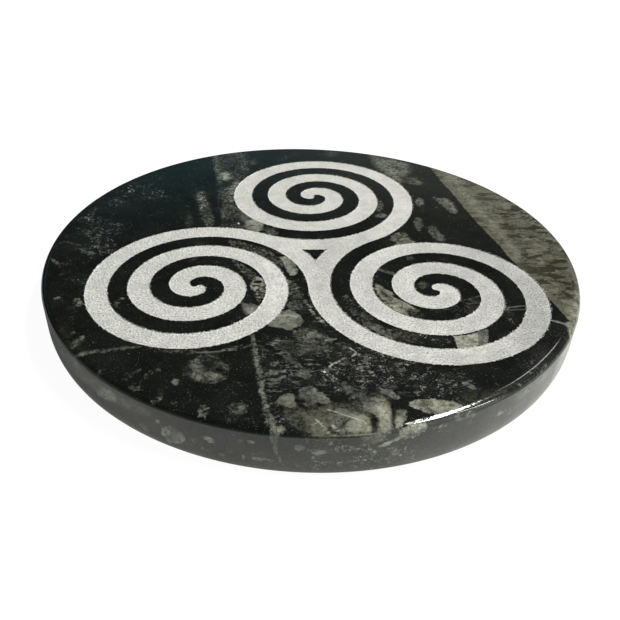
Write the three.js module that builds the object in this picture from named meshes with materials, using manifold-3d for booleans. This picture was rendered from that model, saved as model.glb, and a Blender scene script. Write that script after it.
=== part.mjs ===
// Polished fossil limestone disc with a triple spiral engraved in its top face.
// Millimetres, +Z up. The disc stands on z = 0 and its outline is centred on the Z axis.

import * as THREE from 'three';
import { mergeVertices } from 'three/addons/utils/BufferGeometryUtils.js';
import Module from 'manifold-3d';

// Disc
const DISC_RADIUS = 50.1;
const DISC_THICKNESS = 8.6;

// The disc was cut and ground by hand. Its radius strays from the circle in slow waves:
// `lobes` of them round the rim, each `reach` high, with a crest at `crest` degrees.
const OUTLINE_WAVES = [
  { lobes: 2, reach: 0.4, crest: 128 },
  { lobes: 3, reach: 0.18, crest: 14 },
  { lobes: 4, reach: 0.06, crest: 36 },
];

// Upper arris: a gentle slope from the flat top that turns down into the side.
const ARRIS_RUN = 1.2;
const ARRIS_DROP = 0.9;
const ARRIS_FIRST_SLOPE = 0.25;
const ARRIS_POWER = 4;
const ARRIS_STEPS = 5;

// Foot: a quarter ellipse, FOOT_RISE high, that draws the side in to the flat underside.
const FOOT_RUN = 1;
const FOOT_RISE = 3;
const FOOT_STEPS = 4;

// Triple spiral: three bands round three centres, wound anticlockwise inwards seen from above.
const TRISKELE_X = 2;
const TRISKELE_Y = -2.1;
const TRISKELE_TURN = 91.9;
const SPIRAL_COUNT = 3;
const SPIRAL_OFFSET = 24.35;
const SPIRAL_PITCH = 7.47;
const BAND_WIDTH = 3.94;
const ENGRAVING_DEPTH = 0.1;

// Facets
const RIM_SEGMENTS = 120;
const SPIRAL_SEGMENTS_PER_TURN = 48;
const CUTTER_CLEARANCE = 1;

const TURN = 2 * Math.PI;
const degrees = THREE.MathUtils.degToRad;

// Neighbouring spirals touch on the line between their centres: there the inner edge of one
// band runs on as the outer edge of the next, 30 degrees from the direction of the middle.
const TOUCH_ANGLE = degrees(30);
const CENTRE_SPACING = SPIRAL_OFFSET * Math.sqrt(3);
const OUTER_EDGE_RADIUS = (CENTRE_SPACING + BAND_WIDTH) / 2;
const INNER_EDGE_RADIUS = OUTER_EDGE_RADIUS - BAND_WIDTH;

function outlineStray(angle) {
  return OUTLINE_WAVES.reduce(
    (sum, wave) => sum + wave.reach * Math.cos(wave.lobes * (angle - degrees(wave.crest))),
    0,
  );
}

// Half of the disc's section, from the axis on the underside round to the axis on top.
function discSection() {
  const section = [new THREE.Vector2(0, 0)];
  for (let i = 0; i <= FOOT_STEPS; i++) {
    const swing = (i / FOOT_STEPS) * (Math.PI / 2);
    const inset = FOOT_RUN * (1 - Math.sin(swing));
    section.push(new THREE.Vector2(DISC_RADIUS - inset, FOOT_RISE * (1 - Math.cos(swing))));
  }
  for (let i = ARRIS_STEPS; i >= 0; i--) {
    const along = Math.sqrt(i / ARRIS_STEPS);
    const straight = ARRIS_FIRST_SLOPE * along;
    const drop = ARRIS_DROP * (straight + (1 - ARRIS_FIRST_SLOPE) * along ** ARRIS_POWER);
    const inset = ARRIS_RUN * (1 - along);
    section.push(new THREE.Vector2(DISC_RADIUS - inset, DISC_THICKNESS - drop));
  }
  section.push(new THREE.Vector2(0, DISC_THICKNESS));
  return section;
}

// The turned disc, with its radius scaled by the stray of the outline.
function discGeometry() {
  const geometry = new THREE.LatheGeometry(discSection(), RIM_SEGMENTS);
  geometry.rotateX(Math.PI / 2);
  const position = geometry.attributes.position;
  for (let i = 0; i < position.count; i++) {
    const x = position.getX(i);
    const y = position.getY(i);
    const scale = 1 + outlineStray(Math.atan2(y, x)) / DISC_RADIUS;
    position.setX(i, x * scale);
    position.setY(i, y * scale);
  }
  return geometry;
}

// A point on one edge of band `index`, at `angle` past the direction of the triskele's middle.
function edgePoint(index, startRadius, angle) {
  const heading = degrees(TRISKELE_TURN) + (index * TURN) / SPIRAL_COUNT;
  const radius = startRadius - (SPIRAL_PITCH * angle) / TURN;
  const direction = heading + Math.PI + angle;
  return new THREE.Vector2(
    TRISKELE_X + SPIRAL_OFFSET * Math.cos(heading) + radius * Math.cos(direction),
    TRISKELE_Y + SPIRAL_OFFSET * Math.sin(heading) + radius * Math.sin(direction),
  );
}

// One edge of a band as points, from `firstAngle` to `lastAngle`.
function edgePoints(index, startRadius, firstAngle, lastAngle) {
  const span = Math.abs(lastAngle - firstAngle);
  const steps = Math.ceil((span / TURN) * SPIRAL_SEGMENTS_PER_TURN);
  const points = [];
  for (let i = 0; i <= steps; i++) {
    const angle = firstAngle + ((lastAngle - firstAngle) * i) / steps;
    points.push(edgePoint(index, startRadius, angle));
  }
  return points;
}

// The angle at which an edge that starts at `startRadius` reaches its spiral's centre.
function centreAngle(startRadius) {
  return (startRadius / SPIRAL_PITCH) * TURN;
}

// The outline runs in along a band's outer edge, through the spiral's centre, and out along
// its inner edge to the touching point, where the next band's outer edge begins.
function bandOutline() {
  const outline = [];
  for (let k = 0; k < SPIRAL_COUNT; k++) {
    const inwards = edgePoints(k, OUTER_EDGE_RADIUS, TOUCH_ANGLE, centreAngle(OUTER_EDGE_RADIUS));
    const outwards = edgePoints(k, INNER_EDGE_RADIUS, centreAngle(INNER_EDGE_RADIUS), -TOUCH_ANGLE);
    outline.push(...inwards, ...outwards.slice(1, -1));
  }
  return outline;
}

// The angle past the middle's direction where a band's outer edge crosses its neighbour's:
// seen from the triskele's middle, the two crossings on one edge are a third of a turn apart.
function islandAngles() {
  const middle = new THREE.Vector2(TRISKELE_X, TRISKELE_Y);
  const seen = (angle) => edgePoint(0, OUTER_EDGE_RADIUS, angle).sub(middle);
  const partner = (angle) => {
    const distance = seen(angle).length();
    let near = 0;
    let far = -TOUCH_ANGLE;
    for (let i = 0; i < 40; i++) {
      const half = (near + far) / 2;
      if (seen(half).length() < distance) near = half;
      else far = half;
    }
    return near;
  };
  let low = 0;
  let high = TOUCH_ANGLE;
  for (let i = 0; i < 40; i++) {
    const half = (low + high) / 2;
    const spread = Math.abs(seen(half).angleTo(seen(partner(half))));
    if (spread < TURN / SPIRAL_COUNT) low = half;
    else high = half;
  }
  return [partner(low), low];
}

// The small triangle of uncut stone that stands in the middle, between the three bands.
function islandOutline() {
  const [first, last] = islandAngles();
  const outline = [];
  for (let k = SPIRAL_COUNT - 1; k >= 0; k--) {
    outline.push(...edgePoints(k, OUTER_EDGE_RADIUS, first, last).slice(0, -1));
  }
  return outline;
}

function engravingGeometry() {
  const shape = new THREE.Shape(bandOutline());
  shape.holes.push(new THREE.Path(islandOutline()));
  const depth = ENGRAVING_DEPTH + CUTTER_CLEARANCE;
  const geometry = new THREE.ExtrudeGeometry(shape, { depth, bevelEnabled: false });
  geometry.translate(0, 0, DISC_THICKNESS - ENGRAVING_DEPTH);
  return geometry;
}

// A closed geometry as a solid, with shared corners merged and empty triangles left out.
function solidFrom(geometry, wasm) {
  geometry.deleteAttribute('normal');
  geometry.deleteAttribute('uv');
  const merged = mergeVertices(geometry, 1e-5);
  const corners = merged.index.array;
  const kept = [];
  for (let i = 0; i < corners.length; i += 3) {
    const [a, b, c] = [corners[i], corners[i + 1], corners[i + 2]];
    if (a !== b && b !== c && c !== a) kept.push(a, b, c);
  }
  const vertProperties = new Float32Array(merged.attributes.position.array);
  const triVerts = new Uint32Array(kept);
  return new wasm.Manifold(new wasm.Mesh({ numProp: 3, vertProperties, triVerts }));
}

function geometryFrom(solid) {
  const mesh = solid.getMesh();
  const geometry = new THREE.BufferGeometry();
  geometry.setAttribute('position', new THREE.BufferAttribute(mesh.vertProperties, 3));
  geometry.setIndex(new THREE.BufferAttribute(mesh.triVerts, 1));
  geometry.computeVertexNormals();
  return geometry;
}

// The finished stone, moved so that the middle of its outline is on the Z axis.
function stoneGeometry(wasm) {
  const disc = solidFrom(discGeometry(), wasm);
  const engraving = solidFrom(engravingGeometry(), wasm);
  const geometry = geometryFrom(disc.subtract(engraving));
  geometry.computeBoundingBox();
  const middle = geometry.boundingBox.getCenter(new THREE.Vector3());
  geometry.translate(-middle.x, -middle.y, 0);
  return geometry;
}

const wasm = await Module();
wasm.setup();

const polishedLimestone = new THREE.MeshStandardMaterial({
  color: '#1d1e1b',
  roughness: 0.15,
  metalness: 0,
});

const stoneDisc = new THREE.Mesh(stoneGeometry(wasm), polishedLimestone);
stoneDisc.name = 'stone_disc';

const fossilDisc = new THREE.Group();
fossilDisc.add(stoneDisc);

export default fossilDisc;
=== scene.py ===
import math
from collections import namedtuple

import bpy
import numpy as np
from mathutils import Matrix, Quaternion, Vector, noise
from mathutils.bvhtree import BVHTree
from mathutils.geometry import barycentric_transform, delaunay_2d_cdt
from mathutils.kdtree import KDTree


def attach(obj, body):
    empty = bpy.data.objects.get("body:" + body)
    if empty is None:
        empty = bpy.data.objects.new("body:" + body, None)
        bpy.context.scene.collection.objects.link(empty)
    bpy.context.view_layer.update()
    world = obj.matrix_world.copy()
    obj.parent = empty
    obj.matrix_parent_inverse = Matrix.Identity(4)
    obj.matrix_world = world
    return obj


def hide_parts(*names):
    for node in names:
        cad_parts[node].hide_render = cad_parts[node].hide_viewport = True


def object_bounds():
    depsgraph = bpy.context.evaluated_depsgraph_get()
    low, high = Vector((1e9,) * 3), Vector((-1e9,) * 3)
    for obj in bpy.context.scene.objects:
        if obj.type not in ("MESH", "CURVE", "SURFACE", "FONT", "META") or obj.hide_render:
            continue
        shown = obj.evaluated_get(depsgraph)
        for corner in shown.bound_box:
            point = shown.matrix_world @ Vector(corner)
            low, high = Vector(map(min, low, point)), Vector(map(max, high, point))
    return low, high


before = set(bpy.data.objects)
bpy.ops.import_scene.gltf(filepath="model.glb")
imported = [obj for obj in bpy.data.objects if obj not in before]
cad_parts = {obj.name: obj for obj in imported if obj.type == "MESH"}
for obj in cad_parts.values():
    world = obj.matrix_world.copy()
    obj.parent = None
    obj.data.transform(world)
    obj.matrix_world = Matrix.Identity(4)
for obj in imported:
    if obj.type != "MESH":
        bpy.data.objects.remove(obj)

CAD_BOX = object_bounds()
NODE = "stone_disc"
MM = 0.001
TURN = 2 * math.pi

# Disc, in millimetres. The values are those of the solid.
DISC_RADIUS = 50.1
DISC_THICKNESS = 8.6
OUTLINE_WAVES = ((2, 0.4, 128), (3, 0.18, 14), (4, 0.06, 36))  # lobes, reach, crest in degrees
ARRIS_RUN, ARRIS_DROP = 1.2, 0.9
ARRIS_FIRST_SLOPE, ARRIS_POWER = 0.25, 4
FOOT_RUN, FOOT_RISE = 1.0, 3.0

# Triple spiral, in millimetres and degrees
TRISKELE_X, TRISKELE_Y = 2.0, -2.1
TRISKELE_TURN = 91.9
SPIRAL_COUNT = 3
SPIRAL_OFFSET = 24.35
SPIRAL_PITCH = 7.47
BAND_WIDTH = 3.94
ENGRAVING_DEPTH = 0.1
TOUCH_ANGLE = math.radians(30)
OUTER_EDGE_RADIUS = (SPIRAL_OFFSET * math.sqrt(3) + BAND_WIDTH) / 2
INNER_EDGE_RADIUS = OUTER_EDGE_RADIUS - BAND_WIDTH

# Mesh fineness, in millimetres
TOP_GRID = 0.5
UNDERSIDE_GRID = 1.2
EDGE_STEP = 0.3
EDGE_CLEARANCE = 0.2
CREASE_WIDTH = 0.1
RIM_POINTS = 720
MARK_STEP = 0.36
MARK_FLANK = 0.1
MARK_CLEARANCE = 0.26
MARK_REACH = 1.5
BEND_SEED = 1  # without a seed the waves of the outlines differ from run to run
MARK_BEND = 0.2
FAR_BLUR = 25.0  # marks fade over a wider edge behind the middle: twice as wide at this distance
PIXEL_STEP = 5
SOFT_EDGE, THIN_LINE = 0.13, 0.05
SHARP_ANGLE = math.radians(18)
FIT = 0.9999  # keeps the fine mesh a hair inside the solid's box

# Camera, in millimetres from the middle of the triple spiral, on the top face
CAMERA_PLACE = Vector((0.0, -114.99, 67.17))
CAMERA_AIM = Vector((-7.69, -22.34, 0.0))
CAMERA_ROLL = -0.536
CAMERA_LENS = 40.24
CAMERA_SHIFT = (0.0712, 0.0157)
SENSOR = 36.0
PHOTO_SIZE = 620

# Stone: colours are linear, and the layers of the olive bed repeat for each millimetre
BLACK_STONE, BROWN_STONE = (0.0080, 0.0096, 0.0086), (0.0098, 0.0099, 0.0080)
BLACK_TONE = 30
COOL_TINT = (1.0, 1.06, 0.93)
HAZE_TINT = (1.0, 1.03, 0.94)
GRIT_COLOUR = (0.41, 0.415, 0.385)
LAYER_DARK, LAYER_LIGHT = (0.026, 0.023, 0.014), (0.21, 0.20, 0.155)
LAYER_TURN = math.radians(-9)
LAYER_SCALE = (0.28, 0.55, 1.0)
HATCH_TURN, HATCH_SCALE = math.radians(-7), (0.5, 1.4, 1.0)
ETCHED_COLOUR = (0.605, 0.60, 0.555)
EDGE_CRUMBS = 1.7
DULL_TONE = 0.68
BASE_GRIT = 0.16
STONE_IOR = 1.6
POLISH = 0.07
HONED_ROUGHNESS = 0.3
BAND_ROUGHNESS = 0.85
HONED_HAZE = 0.035
PAINTED_FOOT_LIGHT_LOW, PAINTED_FOOT_LIGHT_HIGH, PAINTED_FOOT_LIGHT_REACH = 1.5, 0.55, 7.5  # the side's haze is painted brighter near its foot, as light from the floor; the reach is in mm
BEVEL_HONING = 0.24
UNDERSIDE_DIP = np.array([3.5, -2.0])  # shift of the fossils between top and underside, in mm

# Room and lights: brightness of the room near the horizon and above, sizes in metres and power
# in watts. Azimuth 0 is +X, and 90 is +Y, away from the viewer.
ROOM_LOW, ROOM_HIGH, ROOM_FRONT, ROOM_WALL = 0.26, 0.014, 0.4, 1.5
ROOM_LEFT, ROOM_RIGHT = (0.14, 0.47, 0.56), (0.84, 0.89, 0.78)
FLOOR_COLOUR = (0.93, 0.93, 0.90)
FLOOR_WHITE = 1.05
FLOOR_LIFT, FLOOR_GLOW = 0.92, 0.6  # how far the floor looks lit by itself, seen and reflected
GLOW_LEFT, GLOW_MIDDLE, GLOW_RIGHT, GLOW_BEHIND = 0.12, 0.40, 0.77, 0.1
GLOW_NEAR, GLOW_FAR, GLOW_TINT = 1.75, 0.5, (1.0, 1.0, 0.94)
WINDOW = {"azimuth": 12, "elevation": 62, "distance": 0.8, "size": (0.46, 0.10), "power": 6.9}
WINDOW_GAP = {"azimuth": -15, "elevation": 38, "distance": 0.8, "size": (0.03, 0.33), "power": 0.9}
LAMP = {"azimuth": 60, "elevation": 40, "distance": 1.2, "size": (0.11, 0.17), "power": 0.35}


def stray(angle):
    """How far the hand-cut outline strays from the circle."""
    return sum(
        reach * np.cos(lobes * (angle - math.radians(crest))) for lobes, reach, crest in OUTLINE_WAVES
    )


def outline_middle():
    """The middle of the outline's box, which the solid has on the Z axis."""
    angle = np.linspace(0, TURN, 3600, endpoint=False)
    radius = DISC_RADIUS + stray(angle)
    x, y = radius * np.cos(angle), radius * np.sin(angle)
    return np.array([(x.min() + x.max()) / 2, (y.min() + y.max()) / 2])


MIDDLE = outline_middle()
TRISKELE = np.array([TRISKELE_X, TRISKELE_Y])


def spiral_heading(index):
    return math.radians(TRISKELE_TURN) + index * TURN / SPIRAL_COUNT


def spiral_centre(index):
    heading = spiral_heading(index)
    return TRISKELE + SPIRAL_OFFSET * np.array([math.cos(heading), math.sin(heading)])


def edge_points(index, start_radius, first, last):
    """Points along one edge of a band, about EDGE_STEP apart."""
    angles = [first]
    way = 1 if last > first else -1
    while (last - angles[-1]) * way > 0:
        radius = start_radius - SPIRAL_PITCH * angles[-1] / TURN
        angles.append(angles[-1] + way * EDGE_STEP / max(abs(radius), 1.2))
    angles[-1] = last
    angles = np.array(angles)
    radius = start_radius - SPIRAL_PITCH * angles / TURN
    direction = spiral_heading(index) + math.pi + angles
    offset = np.stack([radius * np.cos(direction), radius * np.sin(direction)], 1)
    return spiral_centre(index) + offset


def band_outline():
    """In along each band's outer edge to its centre, and out along its inner edge to the next band."""
    loop = []
    for k in range(SPIRAL_COUNT):
        inner_end = INNER_EDGE_RADIUS / SPIRAL_PITCH * TURN
        outer_end = OUTER_EDGE_RADIUS / SPIRAL_PITCH * TURN
        loop.append(edge_points(k, OUTER_EDGE_RADIUS, TOUCH_ANGLE, outer_end))
        loop.append(edge_points(k, INNER_EDGE_RADIUS, inner_end, -TOUCH_ANGLE)[1:-1])
    return np.concatenate(loop)


def edge_depth(points):
    """How far inside the nearest band each point is, in millimetres: negative on uncut stone."""
    depth = np.full(len(points), -SPIRAL_PITCH)
    for k in range(SPIRAL_COUNT):
        offset = points - spiral_centre(k)
        radius = np.hypot(offset[:, 0], offset[:, 1])
        turned = np.arctan2(offset[:, 1], offset[:, 0]) - spiral_heading(k) - math.pi
        angle = np.mod(turned + TOUCH_ANGLE, TURN) - TOUCH_ANGLE
        inside = OUTER_EDGE_RADIUS - SPIRAL_PITCH * angle / TURN - radius
        across = np.mod(inside, SPIRAL_PITCH)
        within = np.where(across < BAND_WIDTH, np.minimum(across, BAND_WIDTH - across),
                          -np.minimum(across - BAND_WIDTH, SPIRAL_PITCH - across))
        depth = np.maximum(depth, np.where(inside < 0, inside, within))
    return depth


def island_outline():
    """The triangle of uncut stone in the middle, bounded by the three outer edges."""
    edge = edge_points(0, OUTER_EDGE_RADIUS, -TOUCH_ANGLE / 2, TOUCH_ANGLE / 2) - TRISKELE
    third = TURN / SPIRAL_COUNT
    seen = np.unwrap(np.arctan2(edge[:, 1], edge[:, 0]))
    far = np.hypot(edge[:, 0], edge[:, 1])
    nearest = far.argmin()
    before, after = slice(nearest, None, -1), slice(nearest, None)
    first = np.interp(far[after], far[before], np.arange(len(far))[before])
    spread = np.abs(seen[after] - np.interp(far[after], far[before], seen[before]))
    last = np.interp(third, spread, np.arange(len(spread))) + nearest
    start = np.interp(last - nearest, np.arange(len(first)), first)
    steps = np.linspace(start, last, 16)[:-1]
    side = np.stack([np.interp(steps, np.arange(len(edge)), edge[:, i]) for i in (0, 1)], 1)
    loop = []
    for k in range(SPIRAL_COUNT - 1, -1, -1):
        turn = k * third
        spun = np.array([[math.cos(turn), -math.sin(turn)], [math.sin(turn), math.cos(turn)]])
        loop.append(side @ spun.T)
    return np.concatenate(loop) + TRISKELE


def hexagonal_grid(spacing, reach):
    """Points of a hexagonal grid inside a circle."""
    rows = np.arange(-reach, reach, spacing * math.sqrt(3) / 2)
    columns = np.arange(-reach, reach, spacing)
    x, y = np.meshgrid(columns, rows)
    x = x + (np.arange(len(rows)) % 2)[:, None] * spacing / 2
    points = np.stack([x.ravel(), y.ravel()], 1)
    return points[np.hypot(points[:, 0], points[:, 1]) < reach]


def ring(radius):
    """A ring of the disc's own outline, at this radius of the section."""
    angle = np.linspace(0, TURN, RIM_POINTS, endpoint=False)
    scaled = radius * (1 + stray(angle) / DISC_RADIUS)
    return np.stack([scaled * np.cos(angle), scaled * np.sin(angle)], 1)


def inside_ring(points, radius):
    """Which points are inside such a ring."""
    angle = np.arctan2(points[:, 1], points[:, 0])
    return np.hypot(points[:, 0], points[:, 1]) < radius * (1 + stray(angle) / DISC_RADIUS)


def triangulated(loops, inner):
    """Triangles over closed loops and loose inner points. The first loop is the outer one."""
    points = np.concatenate([*loops, inner])
    edges, start = [], 0
    for loop in loops:
        count = len(loop)
        edges += [(start + i, start + (i + 1) % count) for i in range(count)]
        start += count
    flat = [Vector(p) for p in points.tolist()]
    made = delaunay_2d_cdt(flat, edges, [], 1, 1e-5, True)
    return np.array([v[:] for v in made[0]]), np.array(made[2]), made[3]


def rim_section():
    """The rim from the flat top's edge down to the underside, as radius and height."""
    along = np.concatenate([[0.0, 0.06], np.sqrt(np.linspace(0.06, 1, 9))])
    straight = ARRIS_FIRST_SLOPE * along
    drop = ARRIS_DROP * (straight + (1 - ARRIS_FIRST_SLOPE) * along**ARRIS_POWER)
    arris = np.stack([DISC_RADIUS - ARRIS_RUN * (1 - along), DISC_THICKNESS - drop], 1)
    upper = DISC_THICKNESS - ARRIS_DROP - 0.06
    heights = np.linspace(upper, FOOT_RISE, 10)
    side = np.stack([np.full(len(heights), DISC_RADIUS), heights], 1)
    lift = np.linspace(0, math.pi / 2, 9)[1:]
    foot = np.stack([DISC_RADIUS - FOOT_RUN * (1 - np.cos(lift)), FOOT_RISE * (1 - np.sin(lift))], 1)
    return np.concatenate([arris, side, foot])


class Stone:
    """Gathers the disc's vertices, its faces and the unrolled place of each vertex."""

    def __init__(self):
        self.places, self.unrolled, self.faces, self.etched = [], [], [], []
        self.count = 0

    def add(self, flat, height, unrolled):
        first = self.count
        self.places.append(np.column_stack([flat, np.full(len(flat), height)]))
        self.unrolled.append(unrolled)
        self.count += len(flat)
        return first

    def face(self, corners, etched=False):
        self.faces += [tuple(int(c) for c in corner) for corner in corners]
        self.etched += [etched] * len(corners)


def thinned(points, spacing):
    """The points with near neighbours left out: one for each cell of a grid."""
    cells = np.floor(points / spacing).astype(int)
    kept = np.unique(cells, axis=0, return_index=True)[1]
    return points[np.sort(kept)]


def clear_of(points, others, distance):
    """The points that are at least this far from all the others."""
    tree = KDTree(len(others))
    for i, (x, y) in enumerate(others.tolist()):
        tree.insert((x, y, 0), i)
    tree.balance()
    far = [tree.find((x, y, 0))[2] > distance for x, y in points.tolist()]
    return points[np.array(far)]


def top_points(mark_points):
    """The loose points of the top: a grid, with finer rows along the edges of the fossils."""
    grid = hexagonal_grid(TOP_GRID, DISC_RADIUS)
    if len(mark_points):
        grid = clear_of(grid, mark_points, MARK_CLEARANCE)
        grid = np.concatenate([grid, mark_points])
    inside = inside_ring(grid, DISC_RADIUS - ARRIS_RUN - EDGE_STEP)
    return grid[inside & (np.abs(edge_depth(grid)) > EDGE_CLEARANCE)]


def add_top(stone, mark_points):
    """The flat top with its engraved recess. Returns the vertices of the top's edge ring."""
    edge = ring(DISC_RADIUS - ARRIS_RUN)
    crease = ring(DISC_RADIUS - ARRIS_RUN - CREASE_WIDTH)
    loops = [edge, crease, band_outline(), island_outline()]
    flat, faces, sources = triangulated(loops, top_points(mark_points))
    top = stone.add(flat, DISC_THICKNESS, flat)
    engraved = edge_depth(flat[faces].mean(1)) > 0
    floor_of = np.full(len(flat), -1)
    used = np.unique(faces[engraved])
    floor_of[used] = np.arange(len(used)) + stone.count
    stone.add(flat[used], DISC_THICKNESS - ENGRAVING_DEPTH, flat[used])
    stone.face(faces[~engraved] + top)
    stone.face(floor_of[faces[engraved]], etched=True)
    sides = {(a, b) for t in faces[engraved] for a, b in zip(t, np.roll(t, -1))}
    walls = []
    for t in faces[~engraved]:
        for a, b in zip(t, np.roll(t, -1)):
            if (b, a) in sides:
                walls.append((b + top, a + top, floor_of[a], floor_of[b]))
    stone.face(walls, etched=True)
    place = {source: i for i, each in enumerate(sources) for source in each}
    return [place[i] + top for i in range(RIM_POINTS)]


def add_rim(stone, upper):
    """Arris, side and foot, ring by ring. Returns the vertices of the lowest ring."""
    section = rim_section()
    steps = np.hypot(*np.diff(section, axis=0).T)
    lengths = np.concatenate([[0], np.cumsum(steps)])
    for (radius, height), length in zip(section[1:], lengths[1:]):
        flat = ring(radius)
        first = stone.add(flat, height, ring(section[0][0] + length))
        lower = [first + i for i in range(RIM_POINTS)]
        nexts = np.roll(np.arange(RIM_POINTS), -1)
        stone.face([(lower[i], lower[j], upper[j], upper[i]) for i, j in enumerate(nexts)])
        upper = lower
    return upper


def add_underside(stone, rim):
    """The flat underside. Its fossils are those of the top, a little displaced by the stone's dip."""
    edge = ring(DISC_RADIUS - FOOT_RUN)
    grid = hexagonal_grid(UNDERSIDE_GRID, DISC_RADIUS - FOOT_RUN - UNDERSIDE_GRID)
    flat, faces, sources = triangulated([edge], grid)
    place = {source: i for i, each in enumerate(sources) for source in each}
    vertex_of = np.full(len(flat), -1)
    for i in range(RIM_POINTS):
        vertex_of[place[i]] = rim[i]
    loose = np.where(vertex_of < 0)[0]
    vertex_of[loose] = np.arange(len(loose)) + stone.count
    stone.add(flat[loose], 0.0, flat[loose] + UNDERSIDE_DIP)
    stone.face(vertex_of[faces][:, ::-1])


def stone_mesh(mark_points=()):
    """Builds the disc's mesh, in metres, and returns it with each vertex's unrolled place."""
    stone = Stone()
    top_edge = add_top(stone, mark_points)
    lowest = add_rim(stone, top_edge)
    add_underside(stone, lowest)
    places = np.concatenate(stone.places)
    unrolled = np.concatenate(stone.unrolled)
    places[:, :2] -= MIDDLE
    low, high = (np.array(corner) / MM for corner in CAD_BOX)
    places[:, :2] *= FIT * ((high - low)[:2] / np.ptp(places[:, :2], axis=0)).min()
    mesh = bpy.data.meshes.new("stone_disc_fine")
    mesh.from_pydata((places * MM).tolist(), [], stone.faces)
    mesh.polygons.foreach_set("use_smooth", [True] * len(stone.faces))
    mesh.polygons.foreach_set("material_index", np.array(stone.etched, dtype=np.int32))
    mesh.set_sharp_from_angle(angle=SHARP_ANGLE)
    return mesh, unrolled


def make_camera():
    """The camera at the photograph's place, with its lens and off-centre crop."""
    top_middle = Vector((*(TRISKELE - MIDDLE), DISC_THICKNESS))
    data = bpy.data.cameras.new("camera")
    camera = bpy.data.objects.new("camera", data)
    bpy.context.scene.collection.objects.link(camera)
    place, aim = top_middle + CAMERA_PLACE, top_middle + CAMERA_AIM
    turn = (aim - place).to_track_quat("-Z", "Y") @ Quaternion((0, 0, 1), math.radians(CAMERA_ROLL))
    camera.location = place * MM
    camera.rotation_mode = "QUATERNION"
    camera.rotation_quaternion = turn
    data.sensor_width = SENSOR
    data.lens = CAMERA_LENS
    data.shift_x, data.shift_y = CAMERA_SHIFT
    data.clip_start, data.clip_end = 0.005, 20
    bpy.context.scene.camera = camera
    return place, turn


class Unroller:
    """Finds the unrolled place, in millimetres, of what a pixel of the photograph shows."""

    def __init__(self, mesh, unrolled, camera_place, camera_turn):
        self.corners = [tuple(p.vertices)[:3] for p in mesh.polygons]
        self.vertices = [v.co / MM for v in mesh.vertices]
        self.unrolled = [Vector((x, y, 0)) for x, y in unrolled.tolist()]
        faces = [tuple(p.vertices) for p in mesh.polygons]
        self.tree = BVHTree.FromPolygons(self.vertices, faces)
        self.place, self.turn = camera_place, camera_turn

    def __call__(self, px, py):
        focal = CAMERA_LENS / SENSOR * PHOTO_SIZE
        x = px - PHOTO_SIZE / 2 + CAMERA_SHIFT[0] * PHOTO_SIZE
        y = PHOTO_SIZE / 2 - py + CAMERA_SHIFT[1] * PHOTO_SIZE
        ray = self.turn @ Vector((x, y, -focal)).normalized()
        hit, _, face, _ = self.tree.ray_cast(self.place, ray)
        if hit is None:
            hit = self.place + ray * (DISC_THICKNESS - self.place.z) / ray.z
            return hit.x + MIDDLE[0], hit.y + MIDDLE[1]
        corners = self.corners[face]
        there = [self.vertices[i] for i in corners]
        flat = barycentric_transform(hit, *there, *[self.unrolled[i] for i in corners])
        return flat.x, flat.y


# The marks in the stone, with painted highlights on the front arris, each outlined in pixels of the
# photograph, from back to front.
# tone is a grey from 0 to 255, warmth goes from 0, green-grey, to 1, beige. mottle says how
# blotchy it is, softness how far its edge fades, in millimetres, and streak how layered it is.
Mark = namedtuple("Mark", "name tone warmth mottle softness outline streak", defaults=[0])


def oval(x, y, wide, high, lean=0):
    """An oval round (x, y), in pixels, with its half width, half height and lean in degrees."""
    lean = math.radians(lean)
    steps = [i * TURN / 14 for i in range(14)]
    along = [(wide * math.cos(a), high * math.sin(a)) for a in steps]
    return [(x + u * math.cos(lean) - v * math.sin(lean), y + u * math.sin(lean) + v * math.cos(lean))
            for u, v in along]


def stroke(*stops):
    """A tapering stroke through stops of (x, y, width), in pixels."""
    line = np.array(stops, dtype=float)
    way = np.gradient(line[:, :2], axis=0)
    across = np.stack([-way[:, 1], way[:, 0]], 1) / np.hypot(*way.T)[:, None]
    half = line[:, 2:] / 2
    return np.concatenate([line[:, :2] + across * half, (line[:, :2] - across * half)[::-1]]).tolist()


BEDS = (
    Mark("olive_bed", 92, 1, 0.15, 0.12, [
        (424, 150), (430, 167), (440, 180), (450, 190.5), (460, 203), (470, 215), (480, 226),
        (490, 236), (500, 246), (508, 256.5), (514, 262), (531, 280), (547, 297), (558, 308),
        (570, 322), (573, 336), (575, 352), (600, 372), (650, 340), (650, 150)], streak=0.75),
    Mark("olive_middle", 84, 1, 0.5, 2, [
        (486, 206), (522, 200), (562, 236), (585, 275), (578, 312), (556, 294), (526, 256),
        (500, 226)], streak=1),
    Mark("olive_selvage", 112, 0.85, 0.2, 0.7, stroke(
        (434, 158, 4), (450, 176, 5), (463, 191, 6), (479, 210, 6), (496, 229, 5),
        (520, 257, 4)), streak=0.1),
    Mark("beige_rim", 124, 0.8, 0.7, 0.9, [
        (569, 318), (573, 300), (576, 282), (590, 270), (590, 345), (574, 348)], streak=0.4),
    Mark("beige_tip", 126, 0.75, 0.6, 0.4, stroke(
        (568, 322, 5), (571.5, 333, 5), (572, 342, 4), (569, 349, 2.5)), streak=0.2),
    Mark("left_brown_tint", 43, 1.5, 0.8, 1.2, [(55, 322), (72, 330), (86, 345), (74, 352), (60, 345)]),
)

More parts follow.
